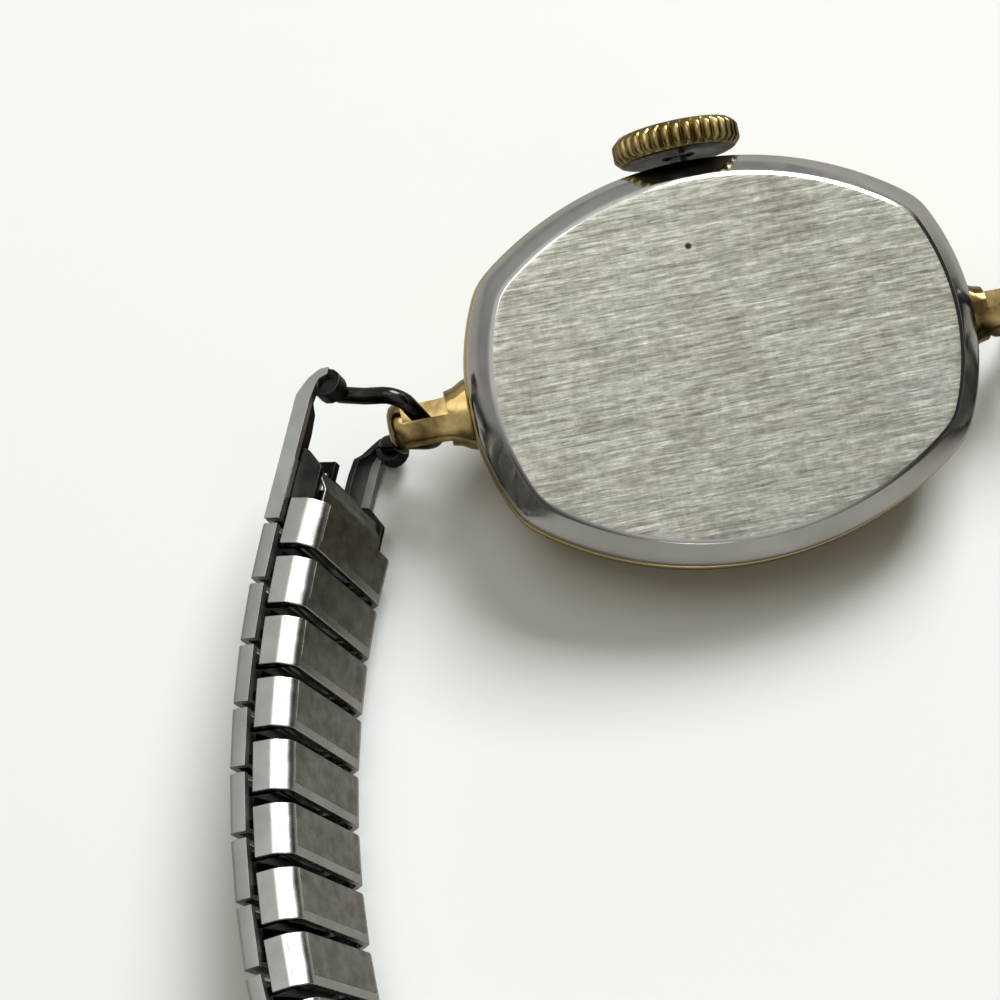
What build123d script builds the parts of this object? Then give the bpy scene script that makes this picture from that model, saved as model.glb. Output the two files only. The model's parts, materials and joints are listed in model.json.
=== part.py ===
from build123d import *
from math import acos, atan2, cos, degrees, hypot, pi, radians, sin
import os

# An oval wristwatch laid on its front, its bracelet standing on edge on the table.
# Table at z = 0, crown towards +Y, the lugs along X. The head is built flat, with its
# back plate at z = 0 and its front downwards, and is then tilted and lifted to its place.

# Case back: plate, soft corners, sloping flank, wall down to the seam
plate_half_length = 9.2
plate_half_width = 7.13
corner_x = 8.17
corner_y = 4.21
corner_grow_share = 0.72
flank_reach = 0.83
flank_drop = 1.05
back_wall = 0.35
seam_depth = 1.55
oval_steps = 5
lip_height = 0.5
lip_wall = 0.4
lip_clearance = 0.05

# Bezel and its lugs
case_wall = 0.93
bezel_belly_drop = 1.25
bezel_belly_inset = 0.08
bezel_shoulder_depth = 4.35
bezel_shoulder_inset = 0.5
bezel_depth = 5.2
rim_inset = 1.73
window_inset = 0.85
lug_root_half_width = 1.5
lug_root_half_height = 1.2
lug_root_length = 0.8
lug_half_width = 1.05
lug_half_height = 1.0
lug_sides = 8
lug_tip_chamfer = 0.35
lug_tip_wall = 0.55
slot_half_length = 0.95
lug_axis_depth = 3.4
lug_reach = 3.3
slot_clearance = 0.12
slot_angle_margin = 3.0
slot_cut_radius = 4.0

# Crystal, dial and hands
crystal_room = 0.73
crystal_rise = 0.65
crystal_bevel = 1.9
crystal_wall = 0.55
crystal_seat_depth = 4.5
crystal_clearance = 0.02
dial_depth = 4.05
dial_thickness = 0.2
dial_clearance = 0.05
dial_hole_radius = 0.68
marker_length = 0.9
marker_width = 0.2
marker_height = 0.09
marker_count = 12
marker_inset = 1.05
hand_thickness = 0.12
hour_hand_depth = 4.42
minute_hand_depth = 4.7
hour_hand_length = 2.9
minute_hand_length = 4.2
hand_half_width = 0.3
hand_tip_half_width = 0.06
hand_hub_radius = 0.75
hand_tail = 0.9

# Crown, stem and the keyless pieces on it
stem_depth = 2.2
crown_radius = 2.53
crown_base = 8.3
crown_thickness = 1.09
crown_chamfer = 0.28
crown_flutes = 30
flute_depth = 0.2
flute_tip_share = 0.4
crown_cap_rise = 0.18
tube_radius = 0.6
tube_bore = 0.43
tube_inner_end = 7.1
tube_outer_end = 8.15
stem_radius = 0.38
stem_neck_radius = 0.2
stem_square = 0.34
stem_inner_end = 2.55
stem_collar_start = 4.88
groove_start = 4.98
groove_width = 0.22
running_gap = 0.05
winding_pinion_radius = 0.85
winding_pinion_start = 4.15
winding_pinion_length = 0.6
sliding_pinion_radius = 0.72
sliding_pinion_start = 3.2
sliding_pinion_length = 0.8
keyless_teeth = 10
lever_thickness = 0.2
lever_length = 1.6
lever_foot_length = 0.95
lever_foot_width = 0.7
lever_pin_half_width = 0.3

# Movement: outline and levels, measured down from the back plate
movement_inset = 1.35
bridge_top = 0.82
bridge_bottom = 1.3
plate_top = 2.9
plate_bottom = 3.6
movement_gap = 0.05
ring_ledge = 0.5
ring_top = 2.3
bridge_split_gap = 0.12
barrel_pillar_shares = [(-0.809, -0.277), (-0.382, 0.787), (0.191, 0.839)]
train_pillar_shares = [(-0.089, -0.813), (0.624, -0.649), (0.841, -0.121)]
cock_pillar_shares = (0.777, 0.407)
bridge_split_shares = [
    (0.159, 1.211), (0.159, 0.268), (-0.146, 0.130),
    (-0.172, -0.294), (-0.408, -0.536), (-1.146, -0.536),
]
bridge_reach_share = 1.2
cock_arm_share = 2.2
cock_boss_share = 1.6
cock_foot_share = 1.2
screw_turn = 47.0
pillar_radius = 0.42
screw_head_radius = 0.36
screw_head_height = 0.16
screw_shank_radius = 0.18
screw_depth = 0.9
slot_width = 0.1
slot_depth = 0.07
arbor_radius = 0.11
pivot_gap = 0.04
pivot_depth = 0.25
jewel_radius = 0.32
jewel_height = 0.14

# Wheels: teeth and the radius of the pitch circle; a pinion takes its size from its wheel
barrel_teeth = 48
barrel_radius = 3.0
centre_leaves = 8
centre_teeth = 48
centre_radius = 2.28
third_leaves = 6
third_teeth = 45
third_radius = 2.025
fourth_leaves = 6
fourth_teeth = 48
fourth_radius = 1.68
escape_leaves = 6
escape_radius = 1.1
escape_teeth = 15
ratchet_teeth = 24
ratchet_radius = 1.8
cannon_leaves = 10
cannon_radius = 0.425
minute_wheel_teeth = 30
minute_leaves = 8
hour_wheel_teeth = 32
tip_share = 0.7
root_share = 1.1
small_sides = 6
wheel_sides = 16
tube_sides = 8
wheel_thickness = 0.18
pinion_thickness = 0.4
rim_width = 0.32
hub_radius = 0.45
spoke_width = 0.24
spokes = 3
barrel_angle = 167.0
third_angle = -44.0
fourth_angle = 16.0
escape_angle = 67.0
crown_wheel_angle = 48.0
minute_wheel_angle = 60.0
barrel_bottom_depth = 2.85
barrel_top_depth = 1.88
barrel_wall = 0.22
barrel_cover = 0.16
barrel_tooth_height = 0.32
centre_wheel_depth = 1.55
third_wheel_depth = 2.6
fourth_wheel_depth = 1.6
escape_wheel_depth = 2.4
ratchet_depth = 0.56
ratchet_thickness = 0.2
motion_level = 3.66
motion_thickness = 0.14
pipe_wall = 0.14
mainspring_turns = 4
spiral_steps = 8
mainspring_strip = 0.13
barrel_core_radius = 0.75
barrel_arbor_radius = 0.3

# Balance, hairspring, pallet fork, click
balance_x = 3.6
balance_y = 3.0
balance_radius = 1.9
balance_rim = 0.28
balance_depth = 1.8
balance_thickness = 0.24
balance_clearance = 0.28
staff_radius = 0.12
roller_radius = 0.35
roller_depth = 2.55
hairspring_radius = 1.1
hairspring_inner = 0.35
hairspring_turns = 3
hairspring_strip = 0.07
hairspring_depth = 1.58
hairspring_height = 0.14
fork_share = 0.5
fork_thickness = 0.16
fork_arm = 0.62
fork_half_width = 0.16
click_radius = 0.34
click_angle = 205.0
click_reach = 1.15
click_tip_half_width = 0.12
click_spring_strip = 0.1
click_spring_length = 1.9

# Bracelet: section, pitch, path and lean
band_width = 6.2
band_thickness = 2.4
band_lean = 23.0
pitch = 2.4
pitches_per_side = 20
pitches_per_body = 2
bow_radius = 19.9
outer_length = 2.16
inner_length = 1.94
side_settling = 40
row_gap = 0.3
row_split = 0.35
sheet = 0.25
side_sheet = 0.3
outer_bevel = 0.22
inner_bevel_rise = 0.55
inner_bevel_reach = 0.42
clip_width = 0.3
clip_thickness = 0.22
clip_inset = 0.85
leaf_sheet = 0.1
leaf_half_length = 1.8
leaf_bow = 0.35

# End pieces and end rings: the path ends this far out from the lug's hole, and this far back
end_out = 4.777
end_back = 4.472
end_length = 6.0
end_gap = 0.1
end_shell = 2.5
arm_width = 0.7
arm_sheet = 0.3
end_wall_start = 1.12
end_wall_end = 4.6
end_wall_low = 0.9
end_wall_tip = 0.4
end_block_start = 2.2
end_block_end = 2.9
end_block_half_width = 1.3
end_block_low = 0.1
tongue_end = 2.3
tongue_rise = 0.55
knuckle_radius = 0.62
knuckle_sides = 12
ring_wire_radius = 0.3
wire_sides = 8
ring_half_height = 2.0
ring_pin_reach = 2.9
ring_corner_radius = 0.45
ring_corner_steps = 2
ring_gap = 0.06

# How the head lies
head_tilt = 22.0
swing_travel = 68.0
overrun = 1.0

TILT = radians(head_tilt)
LEAN = radians(band_lean)
rim_half_width = plate_half_width + flank_reach - rim_inset
head_height = rim_half_width * sin(TILT) + bezel_depth * cos(TILT)
head_place = Location((0, 0, head_height), (head_tilt, 0, 0))
cavity_grow = flank_reach - case_wall
lug_hole_x = plate_half_length + flank_reach + lug_reach - lug_tip_wall - slot_half_length
band_middle = band_width / 2 * cos(LEAN) + band_thickness / 2 * sin(LEAN)

# The bracelet's path: a bow on the far side, then a long side arc that comes in towards the lug
bow_quarter = bow_radius * pi / 2
band_end = pitch * pitches_per_side
side_length = band_end - bow_quarter
side_shift = bow_radius - lug_hole_x - end_out
side_turn = side_shift / side_length * 2
for round_number in range(side_settling):
    side_turn = acos(1 - side_turn * side_shift / side_length)
side_radius = side_length / side_turn
bow_centre_y = lug_axis_depth * sin(TILT) - end_back - side_radius * sin(side_turn)

# The whole watch is centred on the origin, between the crown and the far side of the bracelet
crown_face_radius = crown_radius - flute_depth - running_gap - crown_chamfer
crown_edge = (crown_base + crown_thickness) * cos(TILT) + (stem_depth + crown_face_radius) * sin(TILT)
half_step = pitch / 2 / bow_radius
band_reach = band_thickness / 2 * cos(LEAN) + (band_width / 2 - outer_bevel) * sin(LEAN)
far_edge = bow_centre_y - (bow_radius + band_reach) * cos(half_step) - outer_length / 2 * sin(half_step)
centred = Pos(0, -(crown_edge + far_edge) / 2, 0)


def save(name, *pieces):
    solids = [centred * solid for piece in pieces for solid in piece.solids()]
    export_step(Compound(solids), f"parts/{name}.step")


def save_head(name, *pieces):
    save(name, *[head_place * piece for piece in pieces])


# Basic shapes

def oval_edges(grow):
    half_length = plate_half_length + grow
    half_width = plate_half_width + grow
    x = corner_x + grow * corner_grow_share
    y = corner_y + grow * corner_grow_share
    return [
        ThreePointArc((-x, y), (0, half_width), (x, y)),
        ThreePointArc((x, y), (half_length, 0), (x, -y)),
        ThreePointArc((x, -y), (0, -half_width), (-x, -y)),
        ThreePointArc((-x, -y), (-half_length, 0), (-x, y)),
    ]


def oval(grow, depth=0.0):
    return Pos(0, 0, -depth) * make_face(oval_edges(grow))


def inner_oval(grow):
    # the same oval drawn with flats, for what lies inside the case
    points = []
    for edge in oval_edges(grow):
        points += [edge @ (step / oval_steps) for step in range(oval_steps)]
    return polygon(points)


def slab(face, top, bottom):
    return extrude(Pos(0, 0, -bottom) * face, amount=bottom - top, dir=(0, 0, 1))


def disc(radius, top, bottom, at=(0, 0)):
    return slab(Pos(*at) * RegularPolygon(radius, wheel_sides), top, bottom)


def rod(radius, top, bottom, at=(0, 0)):
    # a small round piece, drawn with few flats
    return slab(Pos(*at) * RegularPolygon(radius, small_sides), top, bottom)


def hole(radius, top, bottom, at=(0, 0)):
    # a small round hole: its flats stand clear of the radius
    return slab(Pos(*at) * RegularPolygon(radius, small_sides, major_radius=False), top, bottom)


def block(width, length, top, bottom, at=(0, 0)):
    middle = -(top + bottom) / 2
    return Pos(at[0], at[1], middle) * Box(width, length, bottom - top)


def polygon(points):
    return make_face(Polyline(*points, close=True))


def polar(start, distance, angle):
    return (start[0] + distance * cos(radians(angle)), start[1] + distance * sin(radians(angle)))


def along_crown(shape, start):
    # turns a shape built along +Z so that it runs along the stem, from start outwards
    return Location((0, start, -stem_depth), (-90, 0, 0)) * shape


def stem_bore(radius, start, end):
    outline = RegularPolygon(radius, tube_sides, major_radius=False)
    return along_crown(extrude(outline, amount=end - start, dir=(0, 0, 1)), start)


def stem_rod(radius, start, end):
    outline = RegularPolygon(radius, tube_sides)
    return along_crown(extrude(outline, amount=end - start, dir=(0, 0, 1)), start)


def toothed(teeth, pitch_radius, top, bottom, at=(0, 0), phase=0.0):
    # a gear whose tooth number zero points along the phase angle, in degrees
    module = pitch_radius * 2 / teeth
    tip = pitch_radius + module * tip_share
    root = pitch_radius - module * root_share
    step = 360 / teeth
    points = []
    for tooth in range(teeth):
        middle = phase + tooth * step
        points.append(polar(at, tip, middle))
        points.append(polar(at, root, middle + step / 2))
    return slab(polygon(points), top, bottom)


def spoked(wheel, radius, top, bottom, at=(0, 0), turn=0.0):
    # opens a wheel between its rim, hub and spokes
    outer = radius - rim_width
    inner = hub_radius + spoke_width
    half = 180 / spokes
    edge = degrees(spoke_width / outer)
    foot = degrees(spoke_width / inner)
    for spoke in range(spokes):
        angle = turn + spoke * half * 2
        window = polygon([
            polar(at, inner, angle + foot),
            polar(at, outer, angle + edge),
            polar(at, outer, angle + half),
            polar(at, outer, angle + half * 2 - edge),
            polar(at, inner, angle + half * 2 - foot),
        ])
        wheel -= slab(window, top - overrun, bottom + overrun)
    return wheel


def spiral(inner, outer, turns, strip, top, bottom, at):
    # a flat wound strip, drawn with straight steps
    steps = turns * spiral_steps
    edge = []
    for step in range(steps + 1):
        edge.append((inner + (outer - inner) * step / steps, 360 * step / spiral_steps))
    points = [polar(at, radius, angle) for radius, angle in edge]
    points += [polar(at, radius + strip, angle) for radius, angle in reversed(edge)]
    return slab(polygon(points), top, bottom)


# Places of the wheels

centre_pinion = barrel_radius * centre_leaves / barrel_teeth
third_pinion = centre_radius * third_leaves / centre_teeth
fourth_pinion = third_radius * fourth_leaves / third_teeth
escape_pinion = fourth_radius * escape_leaves / fourth_teeth
minute_wheel_radius = cannon_radius * minute_wheel_teeth / cannon_leaves
minute_pinion = cannon_radius * minute_leaves / cannon_leaves
hour_wheel_radius = cannon_radius * hour_wheel_teeth / cannon_leaves
drum_radius = barrel_radius - barrel_radius * root_share * 4 / barrel_teeth
drum_bore = drum_radius - barrel_wall

centre = (0.0, 0.0)
barrel_at = polar(centre, barrel_radius + centre_pinion, barrel_angle)
third_at = polar(centre, centre_radius + third_pinion, third_angle)
fourth_at = polar(third_at, third_radius + fourth_pinion, fourth_angle)
escape_at = polar(fourth_at, fourth_radius + escape_pinion, escape_angle)
crown_wheel_at = polar(barrel_at, ratchet_radius * 2, crown_wheel_angle)
minute_wheel_at = polar(centre, cannon_radius + minute_wheel_radius, minute_wheel_angle)
balance_at = (balance_x, balance_y)
movement_grow = -movement_inset
movement_half_length = plate_half_length + movement_grow
movement_half_width = plate_half_width + movement_grow


def on_movement(shares):
    # a place given as shares of the movement's half length and half width
    return (shares[0] * movement_half_length, shares[1] * movement_half_width)


barrel_pillars = [on_movement(shares) for shares in barrel_pillar_shares]
train_pillars = [on_movement(shares) for shares in train_pillar_shares]
cock_pillar = on_movement(cock_pillar_shares)
split_points = [on_movement(shares) for shares in bridge_split_shares]


# Case

def case_back():
    flank = loft([oval(0.0), oval(flank_reach, flank_drop)], ruled=True)
    body = flank + slab(oval(flank_reach), flank_drop, seam_depth)
    lip = cavity_grow - lip_clearance
    body += slab(inner_oval(lip), seam_depth, seam_depth + lip_height)
    body -= slab(inner_oval(lip - lip_wall), back_wall, seam_depth + lip_height + overrun)
    return body - stem_bore(tube_radius + running_gap, 0, crown_base)


def lug():
    # right-hand lug: a flaring root on the bezel, then a bar that the end ring swings round
    base = plate_half_length + flank_reach - case_wall / 2
    neck = plate_half_length + flank_reach + lug_root_length
    tip = plate_half_length + flank_reach + lug_reach
    shoulder = tip - lug_tip_chamfer
    wide = Rectangle(lug_root_half_width * 2, lug_root_half_height * 2)
    narrow = Rectangle(lug_half_width * 2, lug_half_height * 2)
    body = loft([lug_section(wide, base), lug_section(narrow, neck)], ruled=True)
    bar = bar_outline(lug_half_width)
    body += loft([lug_section(bar, base), lug_section(bar, shoulder)], ruled=True)
    point = bar_outline(lug_half_width - lug_tip_chamfer)
    body += loft([lug_section(bar, shoulder), lug_section(point, tip)], ruled=True)
    return body - slot()


def bar_outline(half_width):
    return RegularPolygon(half_width, lug_sides, major_radius=False, rotation=180 / lug_sides)


def lug_section(outline, x):
    return Pos(x, 0, -lug_axis_depth) * Plane.YZ.location * outline


def slot():
    # the fan that the ring's wire sweeps between the laid and the worn position
    low, high = slot_angles()
    reach = slot_cut_radius
    half = ring_wire_radius + slot_clearance
    middle = (low + high) / 2
    inner = half / cos(radians((high - low) / 2))

    def corner(angle, side):
        return polar(polar((0, 0), reach, angle), half, side)

    fan = polygon([
        corner(low, low - 90),
        corner(high, high + 90),
        polar((0, 0), inner, middle + 90),
        corner(low + 180, low + 90),
        corner(high + 180, high - 90),
        polar((0, 0), inner, middle - 90),
    ])
    start = lug_hole_x - slot_half_length
    upright = Pos(start, 0, -lug_axis_depth) * Plane.YZ.location
    return extrude(upright * fan, amount=slot_half_length * 2, dir=(1, 0, 0))


def slot_angles():
    # the wire's angle from the crown direction, as the head sees it, laid and worn
    up = end_up()
    y = up[1] * cos(TILT) + up[2] * sin(TILT)
    z = -up[1] * sin(TILT) + up[2] * cos(TILT)
    laid = degrees(atan2(z, y))
    return laid - swing_travel - slot_angle_margin, laid + slot_angle_margin


def bezel():
    seam = oval(flank_reach, seam_depth)
    belly = oval(flank_reach - bezel_belly_inset, seam_depth + bezel_belly_drop)
    shoulder = oval(flank_reach - bezel_shoulder_inset, bezel_shoulder_depth)
    front = oval(flank_reach - rim_inset, bezel_depth)
    body = loft([seam, belly], ruled=True) + loft([belly, shoulder], ruled=True)
    body += loft([shoulder, front], ruled=True)
    body -= slab(inner_oval(cavity_grow), seam_depth - overrun, dial_depth + dial_thickness)
    window = flank_reach - rim_inset - window_inset
    body -= slab(oval(window), dial_depth, bezel_depth + overrun)
    right = lug()
    body += right + mirror(right, about=Plane.YZ)
    return body - stem_bore(tube_radius + running_gap / 2, plate_half_width / 2, crown_base)


def crystal():
    # a wall in the bezel's window under a bevelled top
    grow = flank_reach - rim_inset - window_inset - crystal_clearance
    ceiling = minute_hand_depth + hand_thickness + crystal_room
    body = slab(oval(grow), crystal_seat_depth, ceiling)
    body += loft([oval(grow, ceiling), oval(grow - crystal_bevel, ceiling + crystal_rise)], ruled=True)
    return body - slab(inner_oval(grow - crystal_wall), dial_depth, ceiling)


def crown_tube():
    tube = stem_rod(tube_radius, tube_inner_end, tube_outer_end)
    return tube - stem_bore(tube_bore, tube_inner_end - overrun, tube_outer_end + overrun)


def spacer_ring():
    ring = slab(inner_oval(cavity_grow - movement_gap), ring_top, dial_depth)
    ring -= slab(inner_oval(movement_grow + movement_gap), ring_top - overrun, plate_bottom)
    ring -= slab(inner_oval(movement_grow - ring_ledge), plate_bottom - overrun, dial_depth + overrun)
    return ring - stem_bore(stem_radius + running_gap * 2, 0, crown_base)


# Dial side

def dial():
    plate = slab(inner_oval(cavity_grow - dial_clearance), dial_depth, dial_depth + dial_thickness)
    return plate - hole(dial_hole_radius, dial_depth - overrun, dial_depth + dial_thickness + overrun)


def hour_markers():
    bars = []
    front = dial_depth + dial_thickness
    window = flank_reach - rim_inset - window_inset - marker_inset
    for hour in range(marker_count):
        angle = hour * 360 / marker_count
        x = (plate_half_length + window) * cos(radians(angle))
        y = (plate_half_width + window) * sin(radians(angle))
        bar = Box(marker_length, marker_width, marker_height)
        turn = degrees(atan2(y, x))
        bars.append(Pos(x, y, -front - marker_height / 2) * Rot(0, 0, turn) * bar)
    return bars


def hand(length, depth, bore):
    # a leaf hand pointing at +Y, with its hub and short tail
    plan = polygon([
        (-hand_tip_half_width, length),
        (-hand_half_width, length / 2),
        (-hand_tip_half_width * 2, 0),
        (-hand_half_width / 2, -hand_tail),
        (hand_half_width / 2, -hand_tail),
        (hand_tip_half_width * 2, 0),
        (hand_half_width, length / 2),
        (hand_tip_half_width, length),
    ])
    body = slab(plan, depth, depth + hand_thickness)
    body += rod(bore + hand_half_width, depth, depth + hand_thickness)
    return body - hole(bore, depth - overrun, depth + hand_thickness + overrun)


cannon_bore = arbor_radius
cannon_pipe = cannon_bore + pipe_wall
hour_bore = cannon_pipe + pivot_gap
hour_pipe = hour_bore + pipe_wall


def cannon_pinion():
    level = motion_level
    body = toothed(cannon_leaves, cannon_radius, level, level + motion_thickness, centre, minute_wheel_angle)
    body += rod(cannon_pipe, level, minute_hand_depth + hand_thickness)
    return body - hole(cannon_bore, level - overrun, minute_hand_depth + overrun)


def minute_wheel():
    level = motion_level
    phase = minute_wheel_angle + 180 + 180 / minute_wheel_teeth
    top = level + motion_thickness
    wheel = toothed(minute_wheel_teeth, minute_wheel_radius, level, top, minute_wheel_at, phase)
    wheel += toothed(minute_leaves, minute_pinion, top, top + motion_thickness, minute_wheel_at,
                     minute_wheel_angle + 180)
    return wheel + rod(arbor_radius, plate_bottom - pivot_depth, level, minute_wheel_at)


def hour_wheel():
    top = motion_level + motion_thickness + pivot_gap / 2
    phase = minute_wheel_angle + 180 / hour_wheel_teeth
    wheel = toothed(hour_wheel_teeth, hour_wheel_radius, top, top + motion_thickness, centre, phase)
    wheel += rod(hour_pipe, top, hour_hand_depth + hand_thickness)
    return wheel - hole(hour_bore, top - overrun, hour_hand_depth + overrun)


# Movement plates

def wheel_arbor_places():
    return [third_at, fourth_at, escape_at]


def mainplate():
    plate = slab(inner_oval(movement_grow), plate_top, plate_bottom)
    plate -= stem_bore(winding_pinion_radius + running_gap * 2, stem_inner_end - running_gap,
                       plate_half_width)
    for place in wheel_arbor_places() + [balance_at]:
        plate -= hole(arbor_radius + pivot_gap, plate_top - overrun, plate_top + pivot_depth * 2, place)
    bore = arbor_radius + pivot_gap
    plate -= hole(bore, plate_top - overrun, plate_bottom + overrun, centre)
    plate -= hole(barrel_arbor_radius + pivot_gap, plate_top - overrun, plate_bottom + overrun, barrel_at)
    plate -= hole(bore, plate_top + pivot_depth, plate_bottom + overrun, minute_wheel_at)
    for place in barrel_pillars + train_pillars + [cock_pillar]:
        plate -= hole(screw_shank_radius, plate_top - overrun, plate_top + screw_depth / 2, place)
    return plate


def bridge_from(region, places):
    body = slab(inner_oval(movement_grow), bridge_top, bridge_bottom) & slab(region, bridge_top, bridge_bottom)
    for place in places:
        body += rod(pillar_radius, bridge_top, plate_top, place)
    for place in places:
        body -= hole(screw_shank_radius, bridge_top - overrun, plate_top + overrun, place)
    return body


def barrel_bridge():
    region = polygon(split_points + [(split_points[-1][0], split_points[0][1])])
    body = bridge_from(region, barrel_pillars)
    body -= hole(barrel_arbor_radius + pivot_gap, bridge_top - overrun, bridge_bottom + overrun, barrel_at)
    reach = winding_pinion_radius + running_gap * 2
    body -= block(reach * 2, winding_pinion_length + running_gap * 4,
                  stem_depth - reach, bridge_bottom + overrun,
                  (0, winding_pinion_start + winding_pinion_length / 2))
    return body


def train_bridge():
    # everything on the other side of the split, open round the balance
    gap = bridge_split_gap
    reach_x = movement_half_length * bridge_reach_share
    reach_y = movement_half_width * bridge_reach_share
    lower = [(x + gap, y - gap) for x, y in split_points[1:]]
    region = polygon(lower + [(lower[-1][0], -reach_y), (reach_x, -reach_y), (reach_x, lower[0][1])])
    body = bridge_from(region, train_pillars)
    clear = balance_radius + balance_clearance
    body -= disc(clear, bridge_top - overrun, bridge_bottom + overrun, balance_at)
    for place in wheel_arbor_places() + [centre]:
        body -= hole(arbor_radius + pivot_gap, bridge_top - overrun, bridge_bottom + overrun, place)
    return body


def balance_cock():
    arm = Line(balance_at, cock_pillar)
    length = hypot(cock_pillar[0] - balance_x, cock_pillar[1] - balance_y)
    angle = degrees(atan2(cock_pillar[1] - balance_y, cock_pillar[0] - balance_x))
    middle = arm @ 0.5
    bar = Pos(middle.X, middle.Y, 0) * Rot(0, 0, angle) * Rectangle(length, pillar_radius * cock_arm_share)
    body = slab(bar, bridge_top, bridge_bottom)
    body += rod(pillar_radius * cock_boss_share, bridge_top, bridge_bottom, balance_at)
    body += rod(pillar_radius * cock_foot_share, bridge_top, bridge_bottom, cock_pillar)
    body += rod(pillar_radius, bridge_top, plate_top, cock_pillar)
    body -= hole(screw_shank_radius, bridge_top - overrun, plate_top + overrun, cock_pillar)
    return body - hole(staff_radius + pivot_gap, bridge_top - overrun, bridge_bottom + overrun, balance_at)


def screw(place, top, turn, shank_end):
    body = rod(screw_head_radius, top - screw_head_height, top, place)
    body += rod(screw_shank_radius - running_gap / 2, top, shank_end, place)
    groove = Box(screw_head_radius * 3, slot_width, slot_depth * 2)
    return body - Pos(place[0], place[1], -(top - screw_head_height)) * Rot(0, 0, turn) * groove


def bridge_screws():
    places = barrel_pillars + train_pillars + [cock_pillar]
    end = plate_top + screw_depth / 2
    return [screw(place, bridge_top, index * screw_turn, end) for index, place in enumerate(places)]


def jewels():
    return [rod(jewel_radius, bridge_top - jewel_height, bridge_top, place)
            for place in wheel_arbor_places() + [centre, balance_at]]


# Train

def arbor(place, top, bottom, radius=arbor_radius):
    return rod(radius, top, bottom, place)


def barrel():
    teeth = toothed(barrel_teeth, barrel_radius, barrel_bottom_depth - barrel_tooth_height,
                    barrel_bottom_depth, barrel_at, barrel_angle + 180)
    body = teeth + disc(drum_radius, barrel_top_depth, barrel_bottom_depth, barrel_at)
    body -= disc(drum_bore, barrel_top_depth - overrun, barrel_bottom_depth - barrel_wall, barrel_at)
    return body - hole(barrel_arbor_radius + pivot_gap, barrel_top_depth, barrel_bottom_depth + overrun, barrel_at)


def barrel_cover_plate():
    cover = disc(drum_bore - pivot_gap / 2, barrel_top_depth, barrel_top_depth + barrel_cover, barrel_at)
    return cover - hole(barrel_arbor_radius + pivot_gap, barrel_top_depth - overrun, plate_top, barrel_at)


def mainspring():
    top = barrel_top_depth + barrel_cover + pivot_gap
    bottom = barrel_bottom_depth - barrel_wall - pivot_gap
    outer = drum_bore - mainspring_strip - pivot_gap * 3
    return spiral(barrel_core_radius + pivot_gap, outer, mainspring_turns, mainspring_strip, top, bottom, barrel_at)


def barrel_arbor():
    body = arbor(barrel_at, ratchet_depth, plate_bottom - pivot_depth / 2, barrel_arbor_radius)
    top = barrel_top_depth + barrel_cover + pivot_gap
    return body + rod(barrel_core_radius, top, barrel_bottom_depth - barrel_wall - pivot_gap, barrel_at)


def ratchet_wheel():
    wheel = toothed(ratchet_teeth, ratchet_radius, ratchet_depth, ratchet_depth + ratchet_thickness,
                    barrel_at, crown_wheel_angle)
    return wheel - hole(barrel_arbor_radius, ratchet_depth - overrun, bridge_top, barrel_at)


def crown_wheel():
    phase = crown_wheel_angle + 180 + 180 / ratchet_teeth
    wheel = toothed(ratchet_teeth, ratchet_radius, ratchet_depth, ratchet_depth + ratchet_thickness,
                    crown_wheel_at, phase)
    return wheel - hole(barrel_arbor_radius, ratchet_depth - overrun, bridge_top, crown_wheel_at)


def wheel_screw():
    head = rod(barrel_core_radius, ratchet_depth - screw_head_height / 2, ratchet_depth - pivot_gap / 2,
                crown_wheel_at)
    shank = rod(barrel_arbor_radius - pivot_gap, ratchet_depth - screw_head_height / 2, bridge_top, crown_wheel_at)
    return head + shank


def centre_wheel():
    bottom = centre_wheel_depth + wheel_thickness
    wheel = toothed(centre_teeth, centre_radius, centre_wheel_depth, bottom, centre, third_angle)
    wheel = spoked(wheel, centre_radius, centre_wheel_depth, bottom, centre, barrel_angle)
    phase = barrel_angle + 180 / centre_leaves
    top = barrel_bottom_depth - pinion_thickness
    wheel += toothed(centre_leaves, centre_pinion, top, barrel_bottom_depth, centre, phase)
    return wheel + arbor(centre, bridge_top + pivot_depth / 2, minute_hand_depth)


def train_wheel(place, teeth, radius, depth, leaves, pinion, pinion_depth, entry, out):
    # entry is the angle back to the wheel that drives the pinion, out the angle on to the next
    wheel = toothed(teeth, radius, depth, depth + wheel_thickness, place, out)
    wheel = spoked(wheel, radius, depth, depth + wheel_thickness, place, out)
    middle = pinion_depth + wheel_thickness / 2
    wheel += toothed(leaves, pinion, middle - pinion_thickness / 2, middle + pinion_thickness / 2,
                     place, entry + 180 / leaves)
    top = bridge_top + pivot_depth / 2
    return wheel + arbor(place, top, plate_top + pivot_depth)


def third_wheel():
    return train_wheel(third_at, third_teeth, third_radius, third_wheel_depth, third_leaves,
                       third_pinion, centre_wheel_depth, third_angle + 180, fourth_angle)


def fourth_wheel():
    return train_wheel(fourth_at, fourth_teeth, fourth_radius, fourth_wheel_depth, fourth_leaves,
                       fourth_pinion, third_wheel_depth, fourth_angle + 180, escape_angle)


def escape_wheel():
    # pointed teeth that lean forward, on a light rim
    step = 360 / escape_teeth
    points = []
    for tooth in range(escape_teeth):
        points.append(polar(escape_at, escape_radius - rim_width, tooth * step))
        points.append(polar(escape_at, escape_radius, tooth * step + step / 3))
        points.append(polar(escape_at, escape_radius - rim_width, tooth * step + step / 2))
    wheel = slab(polygon(points), escape_wheel_depth, escape_wheel_depth + wheel_thickness)
    phase = escape_angle + 180 + 180 / escape_leaves
    middle = fourth_wheel_depth + wheel_thickness / 2
    wheel += toothed(escape_leaves, escape_pinion, middle - pinion_thickness / 2,
                     middle + pinion_thickness / 2, escape_at, phase)
    return wheel + arbor(escape_at, bridge_top + pivot_depth / 2, plate_top + pivot_depth)


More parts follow.
